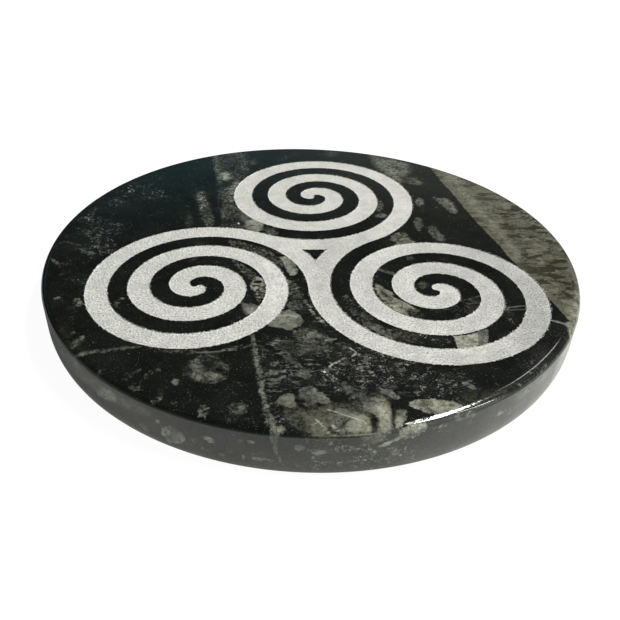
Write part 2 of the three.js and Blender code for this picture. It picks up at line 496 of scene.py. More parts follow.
FAR_MARKS = (
    Mark("column_ground", 62, 0.35, 1, 0.35, [
        (211.5, 154), (222, 152), (243, 149), (250, 158), (247, 172), (238, 186), (236, 200),
        (240, 212), (250, 222), (248, 229), (222, 228), (221, 218), (219, 200), (217, 180),
        (214, 168)]),
    Mark("column_strip", 80, 0.4, 0.7, 0.15, [
        (212, 155), (219, 155), (221, 168), (221, 184), (217, 182), (214, 168)]),
    Mark("column_haze", 54, 0.3, 0.7, 0.4, [
        (222, 156), (238, 153), (240, 164), (236, 172), (224, 170)]),
    Mark("column_blob", 140, 0.4, 0.6, 0.3, [
        (221, 174), (226, 171.5), (231, 174), (231, 179), (226, 181), (222, 179)]),
    Mark("column_spots", 112, 0.4, 1, 0.25, [
        (224, 190), (230, 187), (237, 181), (239, 190), (236, 200), (230, 203), (224, 200)]),
    Mark("column_edge_light", 120, 0.45, 0.8, 0.3, stroke((237, 180, 4), (235, 190, 5), (235, 200, 4))),
    Mark("column_foot", 78, 0.4, 1, 0.25, [(221, 204), (236, 203), (241, 212), (234, 222), (222, 222)]),
    Mark("column_dark", 36, 0.6, 0.8, 0.3, [(222, 181), (232, 183), (226, 189), (221, 192)]),
    Mark("second_column", 74, 0.35, 1, 0.3, stroke((239, 150, 5), (242, 160, 6), (246, 173, 6))),
    Mark("column_smudge", 64, 0.35, 0.8, 0.3, oval(253, 162, 4, 3)),
    Mark("smudge_column", 86, 0.45, 0.95, 0.45, [
        (195, 192), (206, 191), (207, 201), (211, 212), (215, 226), (205, 227), (201, 212),
        (198, 202)]),
    Mark("smudge_column_head", 122, 0.45, 1, 0.35, [
        (196, 195), (206, 194), (207, 204), (204, 210), (199, 205)]),
    Mark("small_smudge", 56, 0.4, 0.8, 0.5, oval(189, 221, 3.5, 7)),
    Mark("pale_patch_grey", 84, 0.4, 0.8, 0.3, [
        (238, 211), (245, 209.5), (251, 215), (249, 223), (242, 221)]),
    Mark("pale_patch", 122, 0.5, 0.6, 0.25, [
        (243, 227), (247, 221), (254, 218), (261, 221), (264, 226), (260, 232), (251, 231)]),
    Mark("white_dot", 205, 0.4, 0, 0.08, oval(238, 223.5, 1.1, 1.1)),
    Mark("green_specks", 72, 0.3, 0.7, 0.2, [
        (265, 226), (274, 229), (280, 235), (272, 236), (264, 232)]),
    Mark("far_smudge", 60, 0.4, 0.7, 0.4, oval(333, 153, 7, 3)),
    Mark("far_mottle", 94, 0.5, 0.6, 0.7, [
        (370, 154), (380, 158), (395, 159), (407, 164), (410, 170), (404, 177), (402, 185), (394, 180),
        (384, 173), (375, 164)]),
    Mark("far_mottle_light", 106, 0.5, 0.8, 0.5, [
        (388, 161), (400, 161), (408, 167), (398, 172), (389, 168)]),
    Mark("far_streak", 84, 0.5, 0.8, 0.3, [
        (405, 178), (413, 177), (421, 182), (424, 185), (414, 185), (406, 182)]),
    Mark("far_spot", 84, 0.35, 0.6, 0.2, oval(419.5, 202, 4.4, 4.2)),
    Mark("far_spot_tail", 60, 0.35, 0.9, 0.3, stroke((423, 205, 3), (422, 213, 3))),
    Mark("second_spot", 78, 0.3, 0.7, 0.2, [
        (414, 219), (419, 216.5), (423, 221), (422, 228), (419, 232), (415, 228)]),
    Mark("far_leaf", 92, 0.35, 0.7, 0.22, [
        (432, 196.5), (438, 198), (447, 198), (453, 203), (456, 208), (457.5, 213), (452, 213.5),
        (446, 208.5), (440, 203)]),
    Mark("far_patch", 82, 0.35, 0.8, 0.22, [
        (428, 226), (433, 225.5), (438, 229), (443, 236), (446, 241.5), (437, 241), (431, 236)]),
    Mark("ring_gap_light", 84, 0.6, 0.8, 0.25, [
        (378, 201), (382, 200), (384, 207), (380, 212), (375, 210)]),
    Mark("ring_gap_streak", 96, 0.5, 0.7, 0.2, oval(381, 215.5, 6, 2.2, -6)),
    Mark("junction_light", 106, 0.8, 0.8, 0.22, [
        (389, 240), (394, 234), (402, 232.5), (408, 234), (409, 239), (416, 241.5), (412, 244.5),
        (400, 246.5), (393, 247), (398, 242)]),
)

LEFT_MARKS = (
    Mark("scratch_a", 84, 0.4, 1, 0.15, stroke((86, 235, 2), (92, 231, 3), (98, 227, 2))),
    Mark("scratch_b", 68, 0.4, 0.8, 0.2, stroke((97, 233, 1.5), (98, 241, 1.8), (101, 252, 2))),
    Mark("scratch_c", 66, 0.4, 0.6, 0.15, stroke(
        (58, 244, 1.3), (65, 241, 1.3), (73, 244, 1.5), (82, 245, 1))),
    Mark("scratch_d", 84, 0.4, 1, 0.2, stroke((83, 251, 2.4), (88, 253, 3), (94, 254, 2))),
    Mark("scratch_e", 90, 0.4, 1, 0.2, stroke((50, 259, 2.5), (55, 263, 3.5), (63, 265, 2))),
    Mark("speck_a", 104, 0.4, 0.6, 0.15, stroke((54, 299, 2), (59.5, 296.5, 2.4))),
    Mark("speck_b", 106, 0.4, 0.9, 0.25, [
        (73, 300), (77, 298), (82, 300), (82, 305), (78, 307), (75, 303)]),
    Mark("speck_c", 108, 0.4, 0.6, 0.15, oval(122, 298.5, 1.8, 1.2)),
    Mark("speck_d", 70, 0.4, 1, 0.25, oval(116, 304, 2.5, 3)),
    Mark("speck_e", 84, 0.5, 0.5, 0.15, oval(73.5, 332, 1.6, 1.2)),
    Mark("gap_streaks", 60, 0.4, 1, 0.3, [(190, 257), (197, 240), (199, 241), (198, 262), (193, 263)]),
    Mark("rim_vein", 98, 0.45, 0.7, 0.3, stroke((84, 336, 2.5), (79, 340.5, 4.5), (71, 348, 3.5))),
    Mark("fan_vein", 86, 0.45, 0.7, 0.35, stroke(
        (75, 357, 2.5), (80, 354.5, 3.5), (90, 352, 3), (106, 350.5, 2.2), (124, 348, 2.2),
        (142, 346, 1.6))),
    Mark("fan_vein_haze", 66, 0.45, 1, 0.3, stroke(
        (146, 347, 3), (160, 350, 4), (176, 352, 4), (192, 351, 3), (206, 353, 3), (224, 352, 2.5))),
    Mark("fan_vein_line", 90, 0.4, 0.05, 0.04, stroke(
        (196, 352.5, 1.2), (208, 352.2, 1.6), (222, 351, 1.2))),
    Mark("fan_vein_end", 80, 0.45, 1, 0.25, stroke((222, 351, 2), (236, 348, 4), (248, 346, 3))),
    Mark("rim_curl", 82, 0.4, 1, 0.2, stroke((104, 369, 2.5), (100, 373, 3), (98, 379, 3))),
    Mark("web_a", 74, 0.25, 1, 0.15, stroke(
        (122, 381, 2), (128, 378, 2.4), (136, 371, 2), (142, 368, 2))),
    Mark("web_b", 72, 0.3, 1, 0.15, stroke(
        (142, 380, 2), (150, 374, 2.6), (156, 370, 2.4), (162, 371, 1.5))),
    Mark("fleck_a", 84, 0.4, 1, 0.2, oval(136, 387, 4, 3.6)),
    Mark("fleck_b", 92, 0.45, 1, 0.2, stroke((151, 403, 3), (157, 400.5, 4.5), (163, 397, 3))),
    Mark("fleck_c", 76, 0.4, 1, 0.2, oval(174, 402.5, 4, 1.6)),
    Mark("fleck_d", 86, 0.4, 1, 0.2, oval(203, 412, 4.5, 6.5, 10)),
    Mark("fleck_e", 78, 0.5, 1, 0.3, oval(238, 408, 9, 7)),
    Mark("fleck_f", 104, 0.5, 0.7, 0.15, oval(241, 407.5, 4.5, 1.8, 8)),
    Mark("goniatite", 50, 0.4, 1, 0.3, oval(207.5, 369.5, 24.5, 14)),
    Mark("goniatite_whorl", 106, 0.5, 0.8, 0.25, [
        (189, 364), (192, 360), (197, 358.5), (201, 361), (203, 366), (201, 373), (205, 380),
        (198, 381), (191, 377), (193, 370)]),
    Mark("goniatite_core", 104, 0.5, 0.8, 0.2, [
        (202, 374), (208, 371), (213, 374), (224, 374.5), (218, 379), (208, 381)]),
    Mark("goniatite_rib_a", 88, 0.4, 0.7, 0.1, stroke(
        (190, 376, 1), (198, 381, 1.4), (209, 383, 1.4), (220, 381.5, 1.2), (228, 377, 1))),
    Mark("goniatite_rib_b", 80, 0.4, 0.7, 0.1, stroke(
        (206, 380.5, 1), (216, 379.5, 1.2), (225, 375.5, 1))),
    Mark("goniatite_top", 84, 0.4, 1, 0.2, stroke((196, 357.5, 2), (207, 356, 2.5), (217, 358.5, 2))),
    Mark("goniatite_shade", 34, 0.4, 0.6, 0.3, oval(208, 363.5, 5.5, 3)),
    Mark("goniatite_gap", 26, 0.4, 0.1, 0.1, [
        (212, 369.5), (216, 367.8), (223, 369.5), (223.5, 372), (217, 372)]),
    Mark("goniatite_lip", 92, 0.4, 0.8, 0.15, stroke(
        (216, 363, 3), (222, 364, 4), (226, 368, 4), (230, 370.5, 3))),
    Mark("white_spot", 92, 0.45, 0.5, 0.2, [
        (171, 381), (174, 378.5), (179, 380), (180, 383.5), (176, 385.5), (172, 384)]),
)

LEFT_SPIRAL_MARKS = (
    Mark("under_band", 108, 0.5, 0.3, 0.15, [
        (262, 257), (272, 262), (280, 270), (285, 280), (286, 292), (283, 303), (276, 312), (266, 318),
        (262, 313), (268, 306), (270.5, 296), (271, 285), (269, 275), (263, 267)]),
    Mark("under_band_grey", 60, 0.5, 0.3, 0.1, [(270, 273), (275, 274.5), (275.5, 281), (271, 280)]),
    Mark("hatched_grey", 80, 0.45, 1, 0.12, [
        (229, 240.5), (240, 241), (254, 246), (266, 250), (276, 256), (284, 263), (284, 267),
        (274, 262), (264, 257), (250, 251), (238, 247), (229, 244)], streak=0.3),
    Mark("gap_plate", 122, 0.4, 0.6, 0.08, [
        (280, 257), (286, 256), (294, 262), (298.5, 270), (296, 275), (290, 275.5), (286, 270),
        (282, 263)]),
    Mark("gap_plate_light", 138, 0.4, 0.6, 0.2, stroke(
        (285, 267, 2.4), (291, 272, 3.4), (296, 269, 3))),
    Mark("hatched_shards", 108, 0.45, 0.9, 0.08, stroke(
        (262, 250, 2), (268, 252.5, 3.2), (273, 256.5, 2.4))),
    Mark("hatched_crack", 30, 0.4, 0.2, 0.06, stroke(
        (265, 248.5, 0.8), (269, 254.5, 1.6), (277, 259.5, 1.2))),
    Mark("gap_block", 106, 0.4, 1, 0.15, [
        (286, 279), (293, 279.5), (297, 285), (300, 288), (292, 291), (288, 291), (287, 285)]),
    Mark("gap_crack", 30, 0.4, 0.2, 0.06, stroke(
        (281, 259, 1), (284.5, 268, 1.6), (287, 275, 1.4), (294, 277.5, 1.2))),
    Mark("gap_crack_low", 30, 0.4, 0.2, 0.06, stroke((287, 292, 1.6), (294, 290, 2), (303, 290, 1.4))),
    Mark("gap_grey_shard", 78, 0.4, 1, 0.15, [
        (289, 291), (300, 290), (305, 295), (299, 299), (291, 298)]),
    Mark("gap_shard", 84, 0.4, 0.9, 0.15, [
        (286, 303), (294, 299.5), (302, 301), (303, 307), (295, 311), (288, 308)]),
    Mark("chips", 140, 0.4, 1, 0.08, stroke(
        (304, 300, 1.6), (310, 307, 2.2), (313, 314, 2), (318, 318, 2.2), (324, 324, 1.8))),
    Mark("wedge", 106, 0.5, 0.5, 0.12, [
        (266, 325), (273, 318), (281, 311), (290, 310), (300, 315), (304.5, 321), (300, 326),
        (288, 330), (279, 328)]),
    Mark("wedge_lip", 138, 0.5, 0.05, 0.04, stroke(
        (268, 321, 1.5), (277, 316, 2), (288, 315, 2), (298, 317, 1.4))),
    Mark("inner_hatch", 86, 0.4, 1, 0.1, [
        (232, 259), (239, 262), (248, 268), (256, 274), (253, 280), (246, 275),
        (238, 269)], streak=0.3),
    Mark("inner_block", 132, 0.4, 0.7, 0.08, [
        (250, 284), (252, 280), (256, 276), (262, 278), (265, 284), (264, 287), (258, 288.5),
        (255, 292), (251, 289)]),
    Mark("inner_block_split", 30, 0.4, 0.2, 0.06, stroke(
        (249, 283, 1), (254, 286, 1.6), (258, 285.5, 1.4), (264, 287.5, 1.2))),
    Mark("inner_block_gap", 34, 0.4, 0.2, 0.1, oval(258, 281.8, 4.6, 1.9)),
    Mark("inner_bars", 112, 0.4, 1, 0.12, [
        (259, 287), (267, 286), (266, 296), (258, 302), (255, 296)], streak=0.5),
    Mark("inner_plate", 84, 0.45, 0.5, 0.12, [
        (241, 302), (246, 304), (250, 303), (259, 306), (254, 312.5), (247, 316), (243, 312)]),
    Mark("inner_plate_light", 126, 0.45, 0.3, 0.3, [
        (246, 308), (252, 307.5), (257, 308), (252, 313), (247, 315)]),
    Mark("lower_streaks", 92, 0.6, 0.9, 0.2, [
        (290, 333), (299, 329), (309, 327), (318, 332), (330, 337), (334, 342), (322, 346), (308, 343),
        (297, 339)], streak=0.5),
)

RIGHT_SPIRAL_MARKS = (
    Mark("inner_vein", 70, 0.5, 0.6, 0.15, stroke((377, 269, 2.5), (386, 271.5, 3), (396, 275, 2.5))),
    Mark("inner_smudge", 64, 0.5, 0.8, 0.3, oval(410, 258, 4, 2.4)),
    Mark("gap_dot", 80, 0.4, 1, 0.2, oval(346, 298, 3.2, 3.6)),
    Mark("gap_dot_low", 76, 0.4, 1, 0.2, oval(354, 312, 4.2, 3.6)),
    Mark("gap_mottle", 60, 0.5, 1, 0.3, [(357, 311), (368, 316), (380, 322), (372, 325), (360, 319)]),
    Mark("gap_grey", 96, 0.55, 0.8, 0.2, [
        (360, 321), (372, 323), (384, 326), (391, 331), (398, 340), (388, 338), (375, 331),
        (365, 327)]),
    Mark("gap_grey_end", 66, 0.4, 1, 0.25, [
        (392, 328), (404, 331), (418, 335), (420, 341), (406, 342), (397, 338)]),
    Mark("inner_beige", 124, 0.75, 0.7, 0.15, [
        (373, 284), (380, 284.5), (386, 290), (391, 291), (394, 298), (402, 300.5), (410, 305),
        (417, 309), (412, 316), (402, 314), (392, 309), (383, 301), (377, 293)]),
    Mark("inner_beige_dark", 76, 0.6, 0.8, 0.2, [
        (379, 289), (386, 292), (392, 298), (389, 300), (382, 296)]),
    Mark("inner_beige_end", 72, 0.5, 1, 0.2, [
        (409, 308), (420, 310), (424, 317), (414, 319), (406, 314)]),
    Mark("core_blob", 72, 0.45, 0.9, 0.25, oval(423, 285.5, 5, 4)),
    Mark("pale_block", 146, 0.6, 0.45, 0.08, [
        (453, 336), (466, 335), (478, 332), (480, 345), (466, 349), (458, 348.5)]),
    Mark("pale_block_below", 150, 0.6, 0.3, 0.1, [
        (459, 351), (474, 349), (487, 345), (488, 358), (482, 363), (463, 363)]),
    Mark("pale_block_end", 100, 0.5, 0.6, 0.12, [(477, 332), (487.5, 328.5), (487.5, 342), (479, 346)]),
    Mark("cross_vein", 82, 0.4, 0.05, 0.04, stroke(
        (503, 308, 1.4), (514, 306.5, 1.6), (528, 305.5, 1.2))),
    Mark("cross_vein_low", 70, 0.4, 0.05, 0.04, stroke(
        (503, 311, 1.2), (515, 309.5, 1.4), (528, 309.5, 1))),
    Mark("cross_vein_stub", 62, 0.4, 0.9, 0.2, stroke((468, 300, 2), (476, 298.5, 3), (484, 297, 2))),
    Mark("rim_cross_vein", 108, 0.5, 0.05, 0.04, stroke(
        (550, 320, 1.6), (560, 322.5, 2), (572, 326, 1.8))),
    Mark("specks_right", 60, 0.4, 1, 0.25, [(464, 301), (482, 300), (480, 314), (468, 316)]),
)

FRONT_MARKS = (
    Mark("long_vein", 104, 0.4, 0.8, 0.3, stroke(
        (251, 331, 3), (253.5, 342, 3.5), (255, 352, 4), (257.5, 364, 5.5), (260, 381, 5),
        (263, 398, 4), (265.5, 408, 5), (269, 418, 8), (273, 425, 10))),
    Mark("vein_flecks", 108, 0.4, 0.9, 0.15, stroke(
        (255, 343, 1.5), (256.5, 352, 2), (258.5, 366, 2.6), (259.5, 382, 2), (262.5, 396, 1.5))),
    Mark("long_vein_side", 100, 0.3, 0.5, 0.12, stroke(
        (275, 428, 11), (274, 438, 8), (274.5, 447, 4.5), (278, 456, 2.5), (282, 465, 2.5))),
    Mark("vein_side_heart", 78, 0.15, 0.4, 0.15, stroke(
        (275, 433, 5), (273, 441, 3.5), (274.5, 448, 1.5))),
    Mark("vein_patch", 112, 0.45, 0.8, 0.2, [
        (271, 427), (276, 424), (281, 425.5), (286, 429), (283, 433), (277, 433), (272, 432)]),
    Mark("vein_patch_high", 108, 0.45, 0.9, 0.15, [
        (267, 416), (272, 414), (276, 418), (273, 422), (268, 421)]),
    Mark("rung_a", 104, 0.45, 0.5, 0.12, stroke((265, 374.5, 3), (273, 373.5, 2.4), (286, 370.5, 2))),
    Mark("rung_b", 100, 0.45, 0.4, 0.1, stroke((267, 378.5, 2.4), (276, 379.5, 2.6), (286, 376, 2))),
    Mark("rung_c", 88, 0.45, 0.4, 0.12, stroke((268, 383.5, 2.2), (274, 383, 2.4), (281, 382.5, 1.4))),
    Mark("rung_tick", 124, 0.4, 0.3, 0.04, stroke((278, 360, 1), (275.5, 364, 1.1), (273, 367, 0.9))),
    Mark("upper_streaks", 94, 0.6, 0.9, 0.2, [
        (291, 330), (304, 330), (315, 332), (323, 336), (316, 339), (303, 336),
        (294, 335)], streak=0.5),
    Mark("upper_bar", 130, 0.5, 0.3, 0.06, stroke((325, 340.5, 1.2), (331, 339.7, 1.8), (338, 339, 1))),
    Mark("upper_mottle", 72, 0.5, 1, 0.35, [
        (277, 343), (290, 340), (302, 345), (316, 342), (328, 346), (322, 352), (306, 354), (292, 356),
        (280, 351)], streak=0.3),
    Mark("shard", 92, 0.55, 0.9, 0.12, [
        (297, 375), (300, 370), (306, 368), (311, 370), (310, 375), (304, 378)]),
    Mark("shard_left", 66, 0.4, 1, 0.2, [(284, 357), (293, 356), (299, 360), (293, 363), (285, 362)]),
    Mark("glint_base", 112, 0.4, 1, 0.12, stroke((316, 367, 1.6), (321, 370, 2.2), (329, 371.5, 2))),
    Mark("glint", 225, 0.4, 0.05, 0.04, oval(324.4, 371.8, 1.6, 1.2)),
    Mark("needle", 150, 0.4, 0.45, 0.04, stroke(
        (328.5, 367, 0.9), (333, 363.5, 1.1), (339, 361, 1), (345, 357.5, 1.5))),
    Mark("chevron", 142, 0.4, 0.4, 0.04, stroke(
        (349, 347.5, 0.8), (352.5, 350, 1.2), (357, 353.2, 1.2))),
    Mark("chevron_low", 136, 0.4, 0.4, 0.04, stroke((357, 353.2, 1.1), (351, 357, 0.9))),
    Mark("comma", 100, 0.4, 0.9, 0.12, stroke((363, 357, 4), (367, 363, 2.4), (371, 374, 2))),
    Mark("tick", 116, 0.4, 0.05, 0.04, stroke((330.5, 377, 1.2), (334, 382, 1.4))),
    Mark("grey_drift", 78, 0.35, 1, 0.25, [
        (340, 381), (348, 382), (357, 389), (357, 398), (351, 402), (346, 394), (341, 387)]),
    Mark("blue_grey", 90, 0.2, 0.8, 0.25, [(357, 394), (362, 391), (369, 393), (368, 400), (360, 401)]),
    Mark("small_leaf", 96, 0.35, 0.7, 0.12, [
        (378.5, 388), (386, 388), (395, 392), (400, 397), (397, 400), (389, 398), (383, 394)]),
    Mark("small_fleck", 88, 0.4, 1, 0.15, stroke((440, 379.5, 2.4), (446, 381, 3), (452, 382, 1.6))),
    Mark("thin_leaf", 94, 0.4, 0.7, 0.12, stroke((460.5, 381, 2), (467, 384, 5), (477, 389.5, 2.5))),
    Mark("bevel_haze", 52, 0.8, 0.8, 1.2, [
        (455, 399), (474, 391), (492, 388), (505, 387), (510, 392), (496, 400), (476, 405)]),
)

MASS_MARKS = (
    Mark("mass_shade", 70, 0.8, 0.8, 0.6, [
        (279, 412), (290, 408), (303, 411), (318, 405), (333, 404), (346, 404), (358, 399), (372, 391),
        (384, 394), (392.5, 403), (392.5, 434), (352, 438), (308, 437), (300, 428), (288, 421)]),
    Mark("mass_brown", 72, 0.85, 0.5, 0.5, [
        (297, 409), (310, 409), (326, 406), (340, 408), (352, 409), (362, 412), (350, 424), (340, 434),
        (308, 434), (304, 424), (310, 418), (300, 414)]),
    Mark("mass_left", 104, 0.85, 0.5, 0.35, [
        (308, 432), (312, 424), (317, 419), (323, 420), (328, 429), (332, 436), (309, 436)]),
    Mark("mass_middle", 94, 0.75, 0.6, 0.35, [
        (327, 410), (338, 408), (350, 411), (361, 416), (352, 422), (344, 428), (346, 435), (336, 434),
        (330, 424)]),
    Mark("mass_top", 108, 0.65, 0.55, 0.35, [
        (358, 406), (368, 400), (377, 395), (388, 399), (391, 406), (380, 410), (366, 413)]),
    Mark("mass_bright", 130, 0.7, 0.3, 0.35, [
        (344, 430), (347, 424), (353, 419.5), (361, 419.5), (368, 425), (373, 432), (362, 433),
        (352, 433)]),
    Mark("mass_bright_ridge", 124, 0.7, 0.4, 0.35, [
        (352, 416), (360, 414), (368, 416), (371, 421), (369, 424), (362, 420)]),
    Mark("mass_right", 134, 0.7, 0.15, 0.35, [
        (374, 407), (382, 405), (391.5, 406), (391.5, 434), (384, 434), (378, 430), (380, 420),
        (375, 413)]),
    Mark("mass_right_light", 142, 0.65, 0.4, 0.35, [
        (381, 412), (389, 410), (390, 430), (385, 431), (382, 421)]),
    Mark("mass_hollow", 44, 0.7, 0.9, 0.15, [
        (370.5, 417), (374, 415.5), (378, 420), (377.5, 428), (373.5, 430), (371, 424)]),
    Mark("mass_crease", 42, 0.6, 0.8, 0.15, stroke((340, 429, 1.2), (345, 422, 1.8), (351, 418, 1.4))),
    Mark("mass_dark_gap", 48, 0.8, 0.9, 0.2, stroke(
        (297.5, 394, 2), (299, 401, 3.5), (303, 407, 3), (312, 409, 2))),
    Mark("mass_line_a", 150, 0.5, 0.05, 0.03, stroke(
        (315, 419, 1), (321.7, 424.5, 1.7), (330.5, 434.5, 1.3))),
    Mark("mass_line_b", 150, 0.5, 0.05, 0.03, stroke(
        (332.8, 425, 1.7), (337, 429.5, 1.3), (342, 434.5, 1.2))),
    Mark("mass_line_c", 140, 0.5, 0.1, 0.03, stroke(
        (344, 426, 1), (349, 429.5, 1.3), (354, 432.5, 1.1))),
    Mark("mass_line_d", 145, 0.5, 0.05, 0.03, stroke(
        (327, 409, 1), (339, 413, 1), (350.5, 416.7, 1.2), (363.9, 421, 1.5), (372.5, 432, 1.5))),
    # Painted highlight: a thin light line along the arris crease in front of the mass, standing in for
    # a reflection
    Mark("painted_highlight_mass_arris", 140, 0.5, 0, 0.03, stroke(
        (308, 435.5, 1.1), (336, 435.5, 1.2), (362, 435, 1.4), (386, 431.5, 1.3))),
    # Painted highlight: the ragged start of the window's reflection on the arris, painted as a pale
    # stroke
    Mark("painted_highlight_arris_start", 235, 0.5, 0.05, 0.03, stroke(
        (403, 425.2, 0.8), (412, 422.8, 1.2), (417, 420.6, 1.6), (424, 418.8, 1.6))),
    Mark("mass_slit", 40, 0.5, 0.8, 0.12, stroke((392, 404, 1.4), (393, 416, 2), (393.5, 430, 2))),
    Mark("pale_shell", 88, 0.6, 0.5, 0.15, [
        (273, 403), (279, 398), (284, 393.5), (291, 392), (295.5, 395), (295, 401), (296, 407),
        (291, 409), (285, 406), (279, 404)]),
    Mark("pale_shell_crown", 102, 0.55, 0.4, 0.25, [
        (279, 399), (286, 394.5), (292, 394), (293, 401), (289, 405), (283, 402)]),
    Mark("green_shell", 88, 0.35, 0.6, 0.2, [
        (297, 391), (303, 387), (311, 385), (317, 389), (323, 395), (331, 400), (328, 405),
        (315, 402.5), (305, 401), (300, 398)], streak=0.3),
    Mark("green_shell_rim", 112, 0.4, 0.7, 0.15, stroke(
        (304, 387.5, 1.6), (311, 387, 2.4), (319, 392.5, 2.2), (327, 399, 1.8))),
    Mark("brown_shell", 70, 0.8, 0.9, 0.2, [
        (302, 402), (312, 401), (321, 405), (316, 409), (305, 408)]),
    Mark("brown_shell_light", 100, 0.6, 0.6, 0.2, oval(309, 403.5, 5, 1.6, 4)),
    Mark("right_block", 94, 0.65, 0.7, 0.25, [
        (395, 411), (402, 408), (407, 411), (406.5, 420), (403, 426), (398, 429), (395, 430)]),
    Mark("block_gap", 42, 0.5, 0.8, 0.2, [(392, 427), (400, 427), (400, 434), (393, 436)]),
    Mark("right_block_light", 130, 0.55, 0.6, 0.25, [
        (396, 421), (399, 416.5), (404, 419), (404, 424), (399, 428), (395, 429)]),
    Mark("lens", 124, 0.55, 0.6, 0.15, [
        (408, 405), (414, 400.5), (424, 398.8), (436, 399), (450, 400.5), (460, 403.5), (467.5, 407),
        (458, 411), (446, 414), (434, 414), (420, 411), (412, 408)]),
    Mark("lens_heart", 138, 0.65, 0.5, 0.3, [
        (434, 402), (446, 403), (456, 406.5), (448, 411), (436, 410)]),
    Mark("lens_shade", 84, 0.8, 0.8, 0.3, stroke(
        (424, 400.5, 2), (423, 405, 3), (427, 410, 3), (434, 412, 2))),
)

SIDE_MARKS = (
    Mark("side_wash", 80, 0.35, 0.6, 0.9, stroke(
        (60, 350, 6), (78, 372, 8), (98, 388, 10), (122, 402, 9), (150, 414, 6))),
    Mark("side_fan_vein", 92, 0.35, 0.7, 0.3, stroke(
        (73, 356, 3), (76, 364, 4.5), (83, 376, 4), (94, 384, 3))),
    Mark("side_shell", 134, 0.35, 0.7, 0.15, [
        (95, 390), (104, 387.5), (112, 391), (117, 395), (116, 402), (108, 401), (99, 396)]),
    Mark("side_dash", 126, 0.35, 0.4, 0.2, oval(158, 421.5, 3.5, 1.6, 14)),
    Mark("side_dash_low", 96, 0.35, 0.8, 0.3, oval(144, 427, 5, 2.4, 40)),
    Mark("side_oval", 112, 0.35, 0.8, 0.2, oval(173, 435, 12.5, 7, 32)),
    Mark("side_oval_light", 150, 0.35, 0.7, 0.25, oval(165.5, 432.5, 5, 4, 32)),
    Mark("side_oval_lip", 128, 0.35, 0.6, 0.2, stroke((166, 440, 1.5), (173, 443, 2), (182, 441, 1.6))),
    Mark("side_chip_a", 142, 0.35, 0.7, 0.15, [
        (203, 437), (207, 435.5), (213, 438.5), (216, 443.5), (211, 443), (205, 441)]),
    Mark("side_chip_b", 92, 0.35, 0.8, 0.2, oval(240, 441, 3, 2)),
    Mark("side_chip_c", 108, 0.35, 0.7, 0.15, oval(251, 442, 3, 1.8)),
    Mark("side_chip_d", 112, 0.35, 0.9, 0.2, stroke((217, 455, 2), (222, 454.5, 3), (226, 458, 2))),
    Mark("side_chip_e", 100, 0.35, 0.9, 0.15, oval(243, 457.5, 2.4, 3)),
    Mark("side_row", 118, 0.35, 0.9, 0.15, stroke((252, 458.5, 3), (262, 459.5, 3.4), (273, 461.5, 3))),
    Mark("side_brick_a", 112, 0.35, 0.4, 0.15, [(294, 446), (304, 444.5), (304.5, 450), (295, 451.5)]),
    Mark("side_brick_b", 110, 0.35, 0.5, 0.15, [
        (309, 451.5), (318, 450.5), (326, 449), (325, 454), (313, 455.5)]),
    Mark("side_stroke_a", 108, 0.35, 0.8, 0.1, stroke(
        (324, 448, 1.4), (330, 449.5, 1.8), (338, 451.5, 1.6))),
    Mark("side_stroke_b", 124, 0.35, 0.8, 0.1, stroke(
        (341, 451, 1.6), (350, 449, 2), (361, 447.5, 1.6))),
    Mark("side_tooth", 124, 0.35, 0.5, 0.12, [(328, 437), (333, 438), (333.5, 445), (330, 446)]),
    Mark("side_tooth_left", 100, 0.35, 0.8, 0.15, stroke(
        (322, 440, 2.5), (327, 441, 3), (335, 438.5, 2.5), (344, 439, 2))),
    Mark("side_cloud", 104, 0.35, 0.6, 0.2, [
        (360, 437), (366, 434), (371, 435), (375, 431.5), (386, 432), (386, 437), (379, 443),
        (370, 443.5), (363, 441)]),
    Mark("side_wedge", 146, 0.4, 0.4, 0.12, [(378, 447), (384, 442), (391, 441), (387, 446.5)]),
    Mark("side_trail", 128, 0.4, 0.7, 0.12, stroke((389, 442.5, 2.6), (399, 439.5, 3), (412, 436, 2))),
    Mark("side_block", 124, 0.5, 0.8, 0.15, [
        (399, 430), (408, 425), (416, 422), (425, 421), (428.5, 425), (427, 430), (420, 434),
        (412, 438), (403, 438)]),
    Mark("side_block_light", 168, 0.45, 0.4, 0.2, [
        (411, 426), (418, 422.5), (427, 423), (426, 429), (416, 432)]),
    Mark("side_patch", 118, 0.3, 1, 0.2, [
        (453, 417), (462, 413), (476, 410.5), (475, 415), (466, 420), (456, 420.5)]),
    Mark("side_flecks", 108, 0.35, 0.9, 0.12, stroke(
        (432, 428, 1.6), (440, 427, 2.2), (449, 425, 1.6))),
    Mark("side_knot", 104, 0.35, 1, 0.15, oval(396, 452.5, 5, 3.6, -20)),
    Mark("side_far_light", 120, 0.35, 0.9, 0.2, stroke(
        (496, 415.5, 2), (501, 412.5, 3), (506, 412, 2))),
    Mark("side_far_streaks", 96, 0.35, 1, 0.5, stroke((516, 399, 4), (532, 388, 5), (546, 374, 5))),
)

MARKS = (*BEDS, *FAR_MARKS, *LEFT_MARKS, *LEFT_SPIRAL_MARKS, *RIGHT_SPIRAL_MARKS, *FRONT_MARKS,
         *MASS_MARKS, *SIDE_MARKS)

